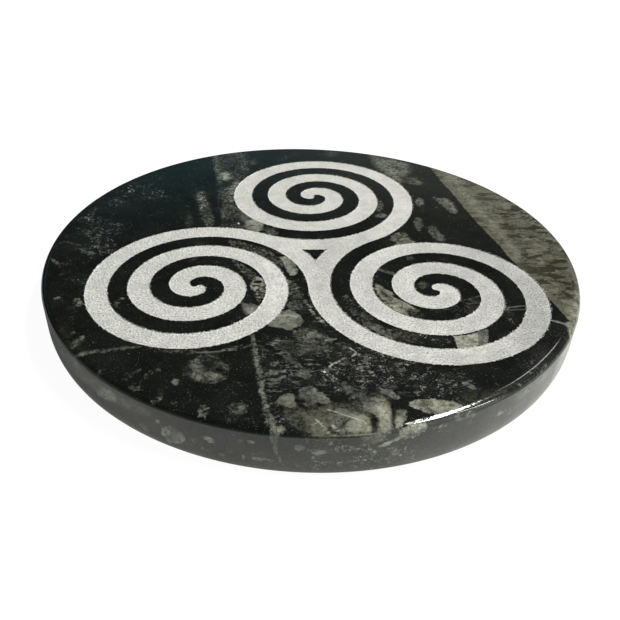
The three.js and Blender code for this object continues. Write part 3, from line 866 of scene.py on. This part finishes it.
# Parts of the stone with fine shell grit, in pixels of the photograph, and how dense it is. The
# edge of such a zone is soft, in millimetres.
Zone = namedtuple("Zone", "name density softness outline")
GRIT = (
    Zone("front_grit", 1, 1.5, [
        (318, 350), (345, 341), (375, 348), (402, 358), (440, 367), (470, 372), (484, 388), (455, 398),
        (425, 396), (398, 390), (370, 390), (338, 392), (318, 386)]),
    Zone("front_right_grit", 0.3, 3, [
        (440, 366), (500, 362), (540, 345), (545, 355), (505, 388), (470, 398)]),
    Zone("rung_grit", 0.6, 1.5, [
        (262, 340), (318, 336), (332, 350), (330, 390), (290, 392), (264, 400)]),
    Zone("left_front_grit", 0.3, 3, [
        (118, 356), (250, 352), (256, 380), (262, 430), (230, 425), (150, 400)]),
    Zone("web_grit", 0.45, 2, [(118, 378), (124, 364), (150, 360), (166, 366), (160, 380), (134, 386)]),
    Zone("vein_foot_grit", 0.9, 1, [
        (262, 395), (276, 408), (306, 418), (309, 435), (286, 436), (266, 430)]),
    Zone("left_grit", 0.25, 3, [(48, 250), (90, 225), (132, 235), (105, 290), (122, 330), (60, 340)]),
    Zone("left_gap_grit", 0.4, 1.5, [
        (130, 300), (180, 318), (245, 306), (262, 300), (255, 330), (150, 325)]),
    Zone("left_gap_grit_low", 0.45, 1, [
        (284, 292), (308, 285), (318, 312), (330, 332), (300, 334), (296, 312)]),
    Zone("top_gap_grit", 0.12, 3, [
        (236, 180), (300, 225), (390, 225), (396, 175), (330, 165), (260, 165)]),
    Zone("middle_grit", 0.4, 1.5, [
        (236, 232), (300, 246), (330, 270), (350, 330), (300, 330), (288, 260), (236, 240)]),
    Zone("right_gap_grit", 0.7, 1, [(396, 328), (452, 334), (454, 348), (400, 344), (380, 334)]),
    Zone("right_gap_grit_high", 0.7, 1, [(340, 290), (352, 294), (376, 318), (364, 328), (342, 308)]),
    Zone("right_inner_grit", 0.4, 1, [
        (410, 300), (484, 296), (506, 300), (530, 320), (500, 345), (440, 322)]),
    Zone("far_left_grit", 0.6, 1.5, [
        (100, 198), (130, 181), (165, 176), (172, 194), (140, 204), (108, 208)]),
    Zone("left_web_grit", 0.7, 2, [
        (78, 214), (100, 205), (124, 222), (116, 248), (96, 264), (74, 252)]),
    Zone("side_left_grit", 0.45, 2, [
        (50, 335), (120, 405), (220, 440), (320, 450), (320, 475), (180, 460), (60, 380)]),
    Zone("column_grit", 0.6, 1, [(212, 155), (250, 150), (250, 228), (220, 228)]),
    Zone("arris_grit", 0.65, 2, [
        (440, 400), (500, 386), (552, 346), (575, 330), (575, 352), (520, 396), (450, 418)]),
    Zone("side_grit", 1, 2, [(300, 442), (412, 436), (424, 446), (410, 470), (300, 476)]),
    Zone("side_right_grit", 0.6, 2, [
        (425, 425), (520, 398), (560, 356), (566, 372), (520, 412), (430, 440)]),
)

# Where the limestone is full of short pale streaks, in pixels of the photograph, and how much
HATCH = (
    Zone("rungs", 0.7, 1.5, [
        (262, 340), (276, 334), (300, 336), (330, 334), (346, 346), (338, 372), (326, 392), (292, 390),
        (268, 400)]),
    Zone("front", 0.6, 3, [(330, 342), (400, 360), (420, 382), (395, 392), (350, 386), (330, 372)]),
    Zone("gap", 0.15, 1, [(286, 290), (304, 290), (318, 316), (330, 334), (304, 330), (290, 308)]),
)

# Where the engraved band is duller, in pixels of the photograph, and by how much
DULL_BAND = (
    Zone("join", 0.4, 2, [
        (306, 262), (318, 238), (372, 230), (380, 250), (342, 262), (332, 300), (310, 300)]),
    Zone("front", 0.2, 3, [(330, 300), (366, 330), (440, 350), (440, 374), (372, 366), (318, 310)]),
    Zone("right_front", 0.5, 3, [
        (440, 354), (505, 336), (560, 300), (560, 350), (500, 380), (440, 374)]),
    Zone("right_end", 1, 2.5, [(492, 300), (512, 268), (555, 280), (562, 340), (520, 358), (505, 330)]),
    Zone("right_top", 0.8, 3, [
        (450, 240), (475, 240), (512, 254), (530, 282), (505, 290), (478, 264), (450, 258)]),
    Zone("right_top_start", 0.35, 3, [(400, 240), (450, 240), (450, 260), (404, 264)]),
    Zone("right_inner", 0.6, 2.5, [
        (418, 262), (470, 264), (502, 288), (500, 318), (470, 332), (450, 330), (470, 312), (474, 290),
        (440, 280), (420, 276)]),
    Zone("right_core", 0.55, 1.5, [(434, 296), (452, 296), (454, 306), (434, 308)]),
    Zone("right_inner_left", 0.25, 2, [
        (350, 262), (400, 262), (412, 300), (450, 306), (450, 332), (380, 318), (352, 290)]),
)

# The honed bevel at the front right, as directions from the disc's middle in degrees
BEVEL_FROM, BEVEL_TO, BEVEL_FADE = -62.0, 12.0, 8.0
# The side's matt finish reaches up the arris there, from and to these directions, by this much in mm
RISE_FROM, RISE_TO, RISE_FADE, RISE = -74.0, -52.0, 5.0, 0.55


def linear(tone):
    """The linear brightness of a grey tone from 0 to 255."""
    return (tone / 255) ** 2.2


def resampled(loop, step):
    """Points along a closed loop, about this far apart."""
    loop = np.asarray(loop)
    closed = np.concatenate([loop, loop[:1]])
    lengths = np.concatenate([[0], np.cumsum(np.hypot(*np.diff(closed, axis=0).T))])
    count = max(3, int(lengths[-1] / step))
    at = np.linspace(0, lengths[-1], count, endpoint=False)
    return np.stack([np.interp(at, lengths, closed[:, i]) for i in (0, 1)], 1)


def pixel_loop(outline, unroll):
    """An outline in pixels as a loop in unrolled millimetres."""
    return np.array([unroll(x, y) for x, y in divided(outline, PIXEL_STEP)])


def rounded(outline):
    """An outline with each corner cut off."""
    loop = np.array(outline, dtype=float)
    following = np.roll(loop, -1, axis=0)
    cut = [0.75 * loop + 0.25 * following, 0.25 * loop + 0.75 * following]
    return np.stack(cut, 1).reshape(-1, 2).tolist()


def bent(loop):
    """A loop with its points moved a little by slow and finer waves: broken shells aren't straight."""
    moved = []
    for x, y in resampled(loop, MARK_STEP).tolist():
        slow = noise.noise_vector((0.4 * x, 0.4 * y, 0.5))
        fine = noise.noise_vector((1.3 * x, 1.3 * y, 7.5))
        shift = MARK_BEND * (0.6 * slow + 0.4 * fine)
        moved.append((x + shift.x, y + shift.y))
    return np.array(moved)


def mark_loop(mark, unroll):
    """A mark's loop in unrolled millimetres. Soft marks lose their corners."""
    crisp = mark.softness < SOFT_EDGE
    return bent(pixel_loop(mark.outline if crisp else rounded(mark.outline), unroll))


def edge_distance(points, loop):
    """How far inside a closed loop each point is, in millimetres: negative outside."""
    starts, ends = loop, np.roll(loop, -1, axis=0)
    nearest = np.full(len(points), np.inf)
    inside = np.zeros(len(points), dtype=bool)
    for a, b in zip(starts, ends):
        side = b - a
        offset = points - a
        along = np.clip(offset @ side / max(side @ side, 1e-9), 0, 1)
        nearest = np.minimum(nearest, np.hypot(*(offset - along[:, None] * side).T))
        if a[1] != b[1]:
            spans = (a[1] > points[:, 1]) != (b[1] > points[:, 1])
            crossing = a[0] + (points[:, 1] - a[1]) / (b[1] - a[1]) * side[0]
            inside ^= spans & (points[:, 0] < crossing)
    return np.where(inside, nearest, -nearest)


def divided(outline, step):
    """An outline in pixels with its long edges divided, so that it can be bent."""
    loop = []
    for (ax, ay), (bx, by) in zip(outline, [*outline[1:], outline[0]]):
        count = max(1, math.ceil(math.hypot(bx - ax, by - ay) / step))
        loop += [(ax + (bx - ax) * i / count, ay + (by - ay) * i / count) for i in range(count)]
    return loop


def flank_points(loops, fineness):
    """Points close to both sides of each outline, where the colours change."""
    rows = []
    for loop in loops:
        line = resampled(loop, MARK_STEP * fineness)
        way = np.roll(line, -1, axis=0) - np.roll(line, 1, axis=0)
        across = np.stack([-way[:, 1], way[:, 0]], 1) / np.hypot(*way.T).clip(1e-9)[:, None]
        flank = MARK_FLANK * fineness * across
        rows += [line + flank, line - flank]
    return thinned(np.concatenate(rows), 2 * MARK_FLANK * fineness)


def fine_points(mark_loops):
    """The points along all the marks' outlines, closer together along the thinnest lines."""
    thin = [loop for mark, loop in zip(MARKS, mark_loops) if mark.softness < THIN_LINE]
    wide = [loop for mark, loop in zip(MARKS, mark_loops) if mark.softness >= THIN_LINE]
    thin_points = flank_points(thin, 0.5)
    return np.concatenate([thin_points, clear_of(flank_points(wide, 1.0), thin_points, MARK_FLANK)])


def near_loop(points, loop, margin):
    """Which points are inside the loop's box, widened by the margin."""
    low, high = loop.min(0) - margin, loop.max(0) + margin
    return np.where(((points > low) & (points < high)).all(1))[0]


def composed_marks(points, loops):
    """The depth inside the nearest mark at each point, how far its edge fades, and four values,
    each mark painted softly over the earlier ones."""
    depth = np.full(len(points), -MARK_REACH)
    softness = np.full(len(points), SOFT_EDGE)
    values = np.tile([linear(BLACK_TONE), 0.5, 0.5, 0.0], (len(points), 1))
    for mark, loop in zip(MARKS, loops):
        near = near_loop(points, loop, MARK_REACH)
        inside = edge_distance(points[near], loop)
        fade = mark.softness * (1 + np.maximum(points[near, 1], 0) / FAR_BLUR)
        nearest = inside > depth[near]
        over = np.clip(inside / fade / 2 + 0.5, 0, 1)
        weight = np.where(depth[near] < 0, nearest, over)[:, None]
        own = [linear(mark.tone), mark.warmth, mark.mottle, mark.streak]
        values[near] += weight * (own - values[near])
        softness[near] = np.where(nearest, fade, softness[near])
        depth[near] = np.maximum(depth[near], inside)
    return depth, softness, values.T


def zone_values(points, zones, unroll):
    """The highest density of the zones round each point, with their soft edges in millimetres."""
    density = np.zeros(len(points))
    for zone in zones:
        loop = pixel_loop(zone.outline, unroll)
        near = near_loop(points, loop, zone.softness)
        inside = edge_distance(points[near], loop)
        strength = zone.density * np.clip(inside / zone.softness / 2 + 0.5, 0, 1)
        density[near] = np.maximum(density[near], strength)
    return density


def honing(places):
    """How matt the stone is left: 0 where polished, up to 1 on the side and the underside."""
    height = places[:, 2]
    angle = np.degrees(np.arctan2(places[:, 1], places[:, 0]))
    bevel = np.clip(np.minimum(angle - BEVEL_FROM, BEVEL_TO - angle) / BEVEL_FADE, 0, 1)
    on_arris = height < DISC_THICKNESS - 0.02
    on_arris &= np.hypot(places[:, 0], places[:, 1]) > DISC_RADIUS - 2 * ARRIS_RUN
    rise = RISE * np.clip(np.minimum(angle - RISE_FROM, RISE_TO - angle) / RISE_FADE, 0, 1)
    on_side = height < DISC_THICKNESS - ARRIS_DROP - 0.03 + rise
    return np.where(on_side, 1.0, np.where(on_arris, BEVEL_HONING * bevel, 0.0))


def arris_share(places):
    """1 on the rounded arris above the side, 0 elsewhere."""
    height = places[:, 2]
    far_out = np.hypot(places[:, 0], places[:, 1]) > DISC_RADIUS - 2 * ARRIS_RUN
    below_top = height < DISC_THICKNESS - 0.01
    above_side = height > DISC_THICKNESS - ARRIS_DROP
    return (far_out & below_top & above_side).astype(float)


def store(mesh, name, *columns):
    """Stores one or three values for each vertex."""
    kind, key = ("FLOAT", "value") if len(columns) == 1 else ("FLOAT_VECTOR", "vector")
    layer = mesh.attributes.new(name, kind, "POINT")
    layer.data.foreach_set(key, np.stack(columns, 1).astype(np.float32).ravel())


def mark_stone(mesh, unrolled, unroll, mark_loops):
    """Writes the marks, the zones and the depth inside the band to the mesh's vertices."""
    depth, softness, (tone, warmth, mottle, streak) = composed_marks(unrolled, mark_loops)
    store(mesh, "fossil_shape", depth, tone, warmth)
    store(mesh, "fossil_grain", mottle, softness, streak)
    grit = np.maximum(zone_values(unrolled, GRIT, unroll), BASE_GRIT)
    dull = zone_values(unrolled, DULL_BAND, unroll)
    places = np.empty(3 * len(mesh.vertices))
    mesh.vertices.foreach_get("co", places)
    places = places.reshape(-1, 3) / MM
    store(mesh, "stone_zones", grit, dull, honing(places))
    on_top = places[:, 2] > DISC_THICKNESS - ARRIS_DROP
    store(mesh, "etch_depth", np.where(on_top, edge_depth(unrolled), -SPIRAL_PITCH))
    store(mesh, "hatching", zone_values(unrolled, HATCH, unroll))
    store(mesh, "arris", arris_share(places))


class Nodes:
    """Adds nodes to a tree and joins their sockets. An input is a value or another socket."""

    def __init__(self, tree):
        self.tree = tree
        tree.nodes.clear()

    def add(self, kind, inputs, **settings):
        node = self.tree.nodes.new(kind)
        for name, value in settings.items():
            setattr(node, name, value)
        for name, value in inputs.items():
            if isinstance(value, bpy.types.NodeSocket):
                self.tree.links.new(value, node.inputs[name])
            else:
                node.inputs[name].default_value = value
        return node

    def math(self, operation, *values):
        return self.add("ShaderNodeMath", dict(enumerate(values)), operation=operation).outputs[0]

    def product(self, first, *others):
        for other in others:
            first = self.math("MULTIPLY", first, other)
        return first

    def vector(self, operation, *values):
        node = self.add("ShaderNodeVectorMath", dict(enumerate(values)), operation=operation)
        return node.outputs[0]

    def times(self, vector, factor):
        node = self.add("ShaderNodeVectorMath", {0: vector, "Scale": factor}, operation="SCALE")
        return node.outputs[0]

    def mix(self, factor, a, b):
        """Between two numbers."""
        node = self.add("ShaderNodeMix", {0: factor, 2: a, 3: b}, data_type="FLOAT")
        return node.outputs[0]

    def blend(self, factor, a, b):
        """Between two colours or vectors."""
        node = self.add("ShaderNodeMix", {0: factor, 4: a, 5: b}, data_type="VECTOR")
        return node.outputs[1]

    def smooth(self, value, low, high, start=0.0, end=1.0):
        """A smooth step from start to end while the value goes from low to high."""
        inputs = {"Value": value, "From Min": low, "From Max": high, "To Min": start, "To Max": end}
        node = self.add("ShaderNodeMapRange", inputs, interpolation_type="SMOOTHSTEP")
        return node.outputs[0]

    def noise(self, place, scale, detail, roughness=0.5):
        inputs = {"Vector": place, "Scale": scale, "Detail": detail, "Roughness": roughness}
        return self.add("ShaderNodeTexNoise", inputs).outputs["Fac"]

    def swing(self, place, scale, detail, roughness=0.5):
        """A noise that swings about zero."""
        return self.math("SUBTRACT", self.noise(place, scale, detail, roughness), 0.5)

    def attribute(self, name):
        return self.add("ShaderNodeAttribute", {}, attribute_name=name)

    def parts(self, vector):
        """The three values of a vector."""
        return self.add("ShaderNodeSeparateXYZ", {0: vector}).outputs[:]

    def stored(self, name):
        """The three values of a vector stored in the mesh."""
        return self.parts(self.attribute(name).outputs["Vector"])


def place_in_mm(n):
    """The place on the stone, in millimetres."""
    objects = n.add("ShaderNodeTexCoord", {}).outputs["Object"]
    return n.times(objects, 1 / MM)


def detail(n, place, near, far):
    """How detailed a noise is: less so on the far side, where the stone looks smoother."""
    return n.smooth(n.parts(place)[1], 0.0, 36.0, near, far)


def fossil_cover(n, place, depth, mottle, softness):
    """1 in a fossil, 0 in the black limestone, with a smoky edge and gaps where it is blotchy."""
    ragged = n.swing(place, 1.3, detail(n, place, 6.0, 2.0), 0.75)
    reach = n.math("MULTIPLY_ADD", mottle, 2.4, 0.2)
    edge = n.math("MULTIPLY_ADD", ragged, reach, depth)
    inside = n.smooth(edge, n.product(softness, -0.8), n.product(softness, 0.8))
    spots = n.smooth(n.noise(place, 1.3, detail(n, place, 6.0, 2.0), 0.72), 0.41, 0.6)
    gaps = n.smooth(mottle, 0.55, 1.1)
    return n.product(inside, n.mix(gaps, 1.0, spots))


def thin_lines(n, place, scale, width):
    """Thin curved lines, where a slow noise passes its middle value."""
    off_middle = n.math("ABSOLUTE", n.swing(place, scale, 4.0, 0.55))
    return n.smooth(off_middle, width * 0.3, width, 1.0, 0.0)


def fossil_colour(n, place, depth, tone, warmth, mottle, streak):
    """Calcite between green-grey and beige: clouded, cracked, and layered in the olive bed."""
    slow = n.swing(place, 0.35, 4.0, 0.6)
    fine = n.swing(place, 1.4, detail(n, place, 6.0, 1.0), 0.8)
    contrast = n.math("MULTIPLY_ADD", mottle, 2.4, 1.2)
    shade = n.math("MULTIPLY_ADD", n.math("ADD", slow, fine), contrast, 1.08)
    shade = n.math("MAXIMUM", shade, 0.25)
    edge = n.smooth(depth, -0.1, 0.3, 0.88, 1.02)
    cracks = n.product(thin_lines(n, place, 0.5, 0.028), n.smooth(mottle, 0.2, 0.8, 0.4, 1.0))
    veins = n.mix(thin_lines(n, place, 0.8, 0.035), 1.0, 1.25)
    shade = n.product(shade, edge, n.mix(cracks, 1.0, 0.3), veins)
    warm = n.math("MULTIPLY_ADD", n.swing(place, 0.3, 3.0), 1.3, warmth)
    even = n.add("ShaderNodeCombineXYZ", {0: warm, 1: warm, 2: warm}).outputs[0]
    tint = n.vector("MULTIPLY_ADD", (0.0, -0.07, -0.20), even, COOL_TINT)
    colour = n.times(tint, n.product(tone, shade))
    return layered(n, place, colour, streak)


def layered(n, place, colour, streak):
    """The olive bed's short dark dashes and pale wisps, all lying along the bed."""
    turned = n.add("ShaderNodeMapping", {
        "Vector": place, "Rotation": (0, 0, LAYER_TURN), "Scale": LAYER_SCALE}).outputs[0]
    drift = n.product(n.swing(place, 0.16, 3.0), 0.35)
    wisps = n.smooth(n.math("ADD", n.noise(turned, 1.3, 3.0, 0.55), drift), 0.54, 0.62)
    dashes = n.noise(turned, 1.0, 3.0, 0.55)
    dashes = n.smooth(n.math("SUBTRACT", dashes, drift), 0.54, 0.585)
    colour = n.blend(n.product(wisps, streak, 0.5), colour, LAYER_LIGHT)
    return n.blend(n.product(dashes, streak, 0.88), colour, LAYER_DARK)


def shell_crumbs(n, place):
    """Broken shells in the limestone: one soft blob for each cell, of its own size and tone."""
    waves = n.add("ShaderNodeTexNoise", {"Vector": place, "Scale": 1.5, "Detail": 4.0})
    moved = n.vector("MULTIPLY_ADD", waves.outputs["Color"], (1.6, 1.6, 1.6), place)
    cells = n.add("ShaderNodeTexVoronoi", {"Vector": moved, "Scale": 1.25})
    size, tone, _ = n.parts(cells.outputs["Color"])
    reach = n.smooth(size, 0.3, 1.0, 0.05, 0.45)
    blob = n.smooth(cells.outputs["Distance"], n.product(reach, 0.7), reach, 1.0, 0.0)
    return n.product(blob, tone)


def shell_grit(n, place, density):
    """How much shell is in the limestone: pinpoints, and dust, crumbs and thin lines in drifts,
    coarser on the far side."""
    place = n.times(place, n.smooth(n.parts(place)[1], -25.0, 45.0, 1.0, 0.65))
    drift = n.noise(place, 0.3, 5.0, 0.62)
    here = n.smooth(n.math("MULTIPLY_ADD", density, 0.45, drift), 0.62, 0.98)
    dust = n.smooth(n.noise(place, 4.2, 4.0, 0.75), 0.50, 0.70, 0.0, 0.20)
    web = n.math("MAXIMUM", thin_lines(n, place, 0.5, 0.024), thin_lines(n, place, 1.2, 0.045))
    gleam = n.smooth(n.noise(place, 2.4, 3.0, 0.7), 0.44, 0.62, 0.0, 1.0)
    lines = n.product(web, gleam, n.smooth(n.noise(place, 0.8, 3.0), 0.48, 0.58))
    crumbs = n.product(shell_crumbs(n, place), 0.24)
    drifted = n.product(n.math("MAXIMUM", n.math("MAXIMUM", dust, lines), crumbs), here)
    pinpoints = n.smooth(n.noise(place, 4.5, 1.0), 0.68, 0.76, 0.0, 0.28)
    pinpoints = n.product(pinpoints, n.smooth(n.noise(place, 0.5, 3.0), 0.4, 0.6, 0.3, 1.0))
    return n.math("MAXIMUM", drifted, pinpoints)


def hatching(n, place):
    """Short pale streaks of shell, side by side."""
    turned = n.add("ShaderNodeMapping", {
        "Vector": place, "Rotation": (0, 0, HATCH_TURN), "Scale": HATCH_SCALE}).outputs[0]
    streaks = n.smooth(n.noise(turned, 1.2, 5.0, 0.65), 0.53, 0.64)
    gleam = n.smooth(n.noise(place, 2.0, 4.0, 0.75), 0.35, 0.65, 0.25, 0.75)
    patches = n.smooth(n.noise(place, 0.35, 3.0), 0.38, 0.55)
    amount = n.product(patches, n.attribute("hatching").outputs["Fac"])
    return n.product(streaks, gleam, amount)


def stone_colour(n, place):
    """The colour of the polished stone, and where it is fossil."""
    depth, tone, warmth = n.stored("fossil_shape")
    mottle, softness, streak = n.stored("fossil_grain")
    density = n.stored("stone_zones")[0]
    clouds = n.smooth(n.noise(place, 0.12, 7.0, 0.7), 0.3, 0.7, 0.7, 1.35)
    grain = n.smooth(n.noise(place, 2.8, 4.0, 0.7), 0.35, 0.7, 0.7, 1.4)
    black = n.blend(n.noise(place, 0.2, 3.0), BROWN_STONE, BLACK_STONE)
    black = n.times(black, n.product(clouds, grain))
    grit = n.math("MAXIMUM", shell_grit(n, place, density), hatching(n, place))
    black = n.blend(n.product(grit, 0.9), black, GRIT_COLOUR)
    cover = fossil_cover(n, place, depth, mottle, softness)
    fossil = fossil_colour(n, place, depth, tone, warmth, mottle, streak)
    return n.blend(cover, black, fossil), cover


def new_material(name):
    material = bpy.data.materials.new(name)
    material.use_nodes = True
    return material, Nodes(material.node_tree)


def shade(n, inputs, bump_height, bump_distance):
    """The surface itself, with its bump in millimetres."""
    bump = n.add("ShaderNodeBump", {"Height": bump_height, "Distance": bump_distance * MM})
    surface = n.add("ShaderNodeBsdfPrincipled", {**inputs, "Normal": bump.outputs[0]})
    n.add("ShaderNodeOutputMaterial", {"Surface": surface.outputs[0]})


def crumbling(n, place):
    """The depth inside the engraved band, with a crumbling edge."""
    depth = n.attribute("etch_depth").outputs["Fac"]
    crumbs = n.swing(place, 2.8, 4.0, 0.65)
    return depth, n.math("MULTIPLY_ADD", crumbs, EDGE_CRUMBS, depth)


def polished_stone():
    """Polished limestone, matt on the side and on the bevel at the front right."""
    material, n = new_material("polished_stone")
    place = place_in_mm(n)
    colour, _ = stone_colour(n, place)
    honed = n.stored("stone_zones")[2]
    patches = n.smooth(n.noise(place, 0.13, 4.0, 0.6), 0.3, 0.7, 0.6, 1.4)
    grain = n.smooth(n.noise(place, 2.2, 4.0, 0.7), 0.35, 0.65, 0.75, 1.25)
    # Painted light: the haze is brighter near the foot, as if the floor lit the side from below
    painted_foot_light = n.smooth(n.parts(place)[2], 0.0, PAINTED_FOOT_LIGHT_REACH, PAINTED_FOOT_LIGHT_LOW, PAINTED_FOOT_LIGHT_HIGH)
    paler = n.product(patches, grain, painted_foot_light, honed, HONED_HAZE)
    colour = n.vector("ADD", colour, n.times(HAZE_TINT, paler))
    smear = n.smooth(n.noise(place, 0.12, 4.0), 0.3, 0.7, POLISH - 0.02, POLISH + 0.03)
    matt = n.noise(place, 0.3, 3.0)
    matt = n.smooth(matt, 0.3, 0.7, HONED_ROUGHNESS - 0.03, HONED_ROUGHNESS + 0.05)
    spilt = n.smooth(crumbling(n, place)[1], 0.0, 0.03)
    colour = n.blend(spilt, colour, n.times(ETCHED_COLOUR, 0.9))
    roughness = n.mix(spilt, n.mix(honed, smear, matt), BAND_ROUGHNESS)
    height = n.product(n.noise(place, 1.2, 2.0), honed)
    uneven = n.product(n.noise(place, 1.6, 2.0), n.attribute("arris").outputs["Fac"])
    height = n.math("MULTIPLY_ADD", uneven, 1.5, height)
    shade(n, {"Base Color": colour, "Roughness": roughness, "IOR": STONE_IOR}, height, 0.01)
    return material


def etched_stone():
    """The engraved band: crushed to a pale, rough surface, with specks of the stone left bare."""
    material, n = new_material("etched_stone")
    place = place_in_mm(n)
    colour, cover = stone_colour(n, place)
    dull = n.stored("stone_zones")[1]
    depth, crumbled = crumbling(n, place)
    pits = n.noise(place, 3.4, 3.0, 0.75)
    drift = n.noise(place, 0.4, 5.0, 0.65)
    crushed = n.smooth(drift, 0.3, 0.7, 0.88, 1.1)
    lip = n.smooth(depth, 0.05, 0.35, 1.18, 1.0)
    crushed = n.product(crushed, n.mix(dull, 1.0, DULL_TONE), lip)
    x, y, _ = n.parts(place)
    roughly = n.smooth(y, -20.0, 25.0, 0.85, 0.4)
    roughly = n.math("ADD", roughly, n.smooth(x, -30.0, 5.0, 0.35, 0.0))
    pitted = n.smooth(pits, 0.25, 0.75, 1.6, 0.42)
    paler = n.smooth(n.parts(colour)[1], 0.04, 0.24)
    roughly = n.product(roughly, n.mix(paler, 1.0, 0.35))
    cracks = n.product(thin_lines(n, place, 0.7, 0.02), paler)
    crushed = n.product(crushed, n.mix(roughly, 1.0, pitted), n.mix(cracks, 1.0, 0.5))
    pale = n.times(ETCHED_COLOUR, n.product(crushed, n.mix(paler, 0.98, 1.12)))
    few = n.math("MULTIPLY_ADD", drift, -0.16, n.smooth(x, -30.0, 5.0, 0.655, 0.70))
    few = n.math("MULTIPLY_ADD", cover, 0.08, few)
    few = n.math("MULTIPLY_ADD", dull, -0.05, few)
    bare = n.smooth(pits, few, n.math("ADD", few, 0.05))
    bare = n.math("MAXIMUM", bare, n.smooth(crumbled, -0.06, -0.01, 1.0, 0.0))
    under = n.blend(0.2, colour, pale)
    colour = n.blend(n.product(bare, 0.8), pale, under)
    shade(n, {"Base Color": colour, "Roughness": BAND_ROUGHNESS, "IOR": STONE_IOR}, pits, 0.08)
    return material


def build_stone():
    """The stone disc, in place of the solid."""
    camera_place, camera_turn = make_camera()
    coarse, unrolled = stone_mesh()
    unroll = Unroller(coarse, unrolled, camera_place, camera_turn)
    noise.seed_set(BEND_SEED)
    mark_loops = [mark_loop(mark, unroll) for mark in MARKS]
    mesh, unrolled = stone_mesh(fine_points(mark_loops))
    mark_stone(mesh, unrolled, unroll, mark_loops)
    bpy.data.meshes.remove(coarse)
    mesh.materials.append(polished_stone())
    mesh.materials.append(etched_stone())
    stone = bpy.data.objects.new("engraved_fossil_stone", mesh)
    bpy.context.scene.collection.objects.link(stone)
    return stone


def add_softbox(name, azimuth, elevation, distance, size, power):
    """A rectangular light that faces the disc."""
    data = bpy.data.lights.new(name, "AREA")
    data.shape, data.energy = "RECTANGLE", power
    data.size, data.size_y = size
    azimuth, elevation = math.radians(azimuth), math.radians(elevation)
    flat = math.cos(elevation)
    way = Vector((flat * math.cos(azimuth), flat * math.sin(azimuth), math.sin(elevation)))
    box = bpy.data.objects.new(name, data)
    box.location = way * distance
    box.rotation_euler = way.to_track_quat("Z", "Y").to_euler()
    bpy.context.scene.collection.objects.link(box)


def add_floor():
    """A plain white floor. The camera sees it nearly as bright as the background. The stone sees
    it dim on the left, brighter on the right and close by, and dark behind."""
    bpy.ops.mesh.primitive_plane_add(size=8)
    floor = bpy.context.object
    floor.name = "floor"
    material, n = new_material("floor_white")
    seen = n.add("ShaderNodeLightPath", {}).outputs["Is Camera Ray"]
    lit = n.add("ShaderNodeBsdfDiffuse", {"Color": (*FLOOR_COLOUR, 1)}).outputs[0]
    place = n.add("ShaderNodeTexCoord", {}).outputs["Object"]
    x, y, _ = n.parts(place)
    left = n.smooth(x, -0.055, -0.02, GLOW_LEFT, GLOW_MIDDLE)
    beside = n.mix(n.smooth(x, 0.01, 0.045), left, GLOW_RIGHT)
    away = n.add("ShaderNodeVectorMath", {0: place}, operation="LENGTH").outputs["Value"]
    close = n.smooth(away, 0.05, 0.075, GLOW_NEAR, GLOW_FAR)
    glow = n.product(beside, close, n.smooth(y, 0.0, 0.06, 1.0, GLOW_BEHIND))
    glow = n.mix(seen, glow, FLOOR_WHITE)
    tint = n.blend(seen, GLOW_TINT, (1.0, 1.0, 1.0))
    white = n.add("ShaderNodeEmission", {"Color": tint, "Strength": glow}).outputs[0]
    lifted = n.mix(seen, n.smooth(y, 0.0, 0.06, FLOOR_GLOW, 1.0), FLOOR_LIFT)
    surface = n.add("ShaderNodeMixShader", {0: lifted, 1: lit, 2: white}).outputs[0]
    n.add("ShaderNodeOutputMaterial", {"Surface": surface})
    floor.data.materials.append(material)


def light_room():
    """A dim room: teal on the far left, brighter at a low angle and behind the viewer, with a
    bright wall at the right and darkness along the horizon behind the disc."""
    world = bpy.data.worlds.new("room")
    world.use_nodes = True
    bpy.context.scene.world = world
    n = Nodes(world.node_tree)
    way = n.add("ShaderNodeTexCoord", {}).outputs["Generated"]
    x, y, z = n.parts(way)
    front = n.product(n.smooth(y, 0.0, 0.4, 1.0, 0.0), n.smooth(z, 0.02, 0.3, 1.0, 0.0))
    behind = n.smooth(z, 0.33, 0.5, ROOM_LOW, ROOM_HIGH)
    behind = n.product(behind, n.smooth(z, 0.27, 0.36, 0.1, 1.0))
    strength = n.mix(front, behind, ROOM_FRONT)
    wall = n.product(
        n.smooth(x, 0.4, 0.6), n.smooth(y, -0.25, -0.1, 1.0, 0.0), n.smooth(z, 0.6, 0.8, 1.0, 0.0))
    strength = n.mix(wall, strength, ROOM_WALL)
    tint = n.blend(n.math("MAXIMUM", front, n.smooth(x, -0.22, 0.22)), ROOM_LEFT, ROOM_RIGHT)
    seen = n.add("ShaderNodeLightPath", {}).outputs["Is Camera Ray"]
    colour = n.blend(seen, n.times(tint, strength), (1.0, 1.0, 1.0))
    room = n.add("ShaderNodeBackground", {"Color": colour}).outputs[0]
    n.add("ShaderNodeOutputWorld", {"Surface": room})


stone = build_stone()
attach(stone, "root")
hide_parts(NODE)

add_floor()
light_room()
add_softbox("window", **WINDOW)
add_softbox("window_gap", **WINDOW_GAP)
add_softbox("lamp", **LAMP)
bpy.context.scene.view_settings.view_transform = "Standard"
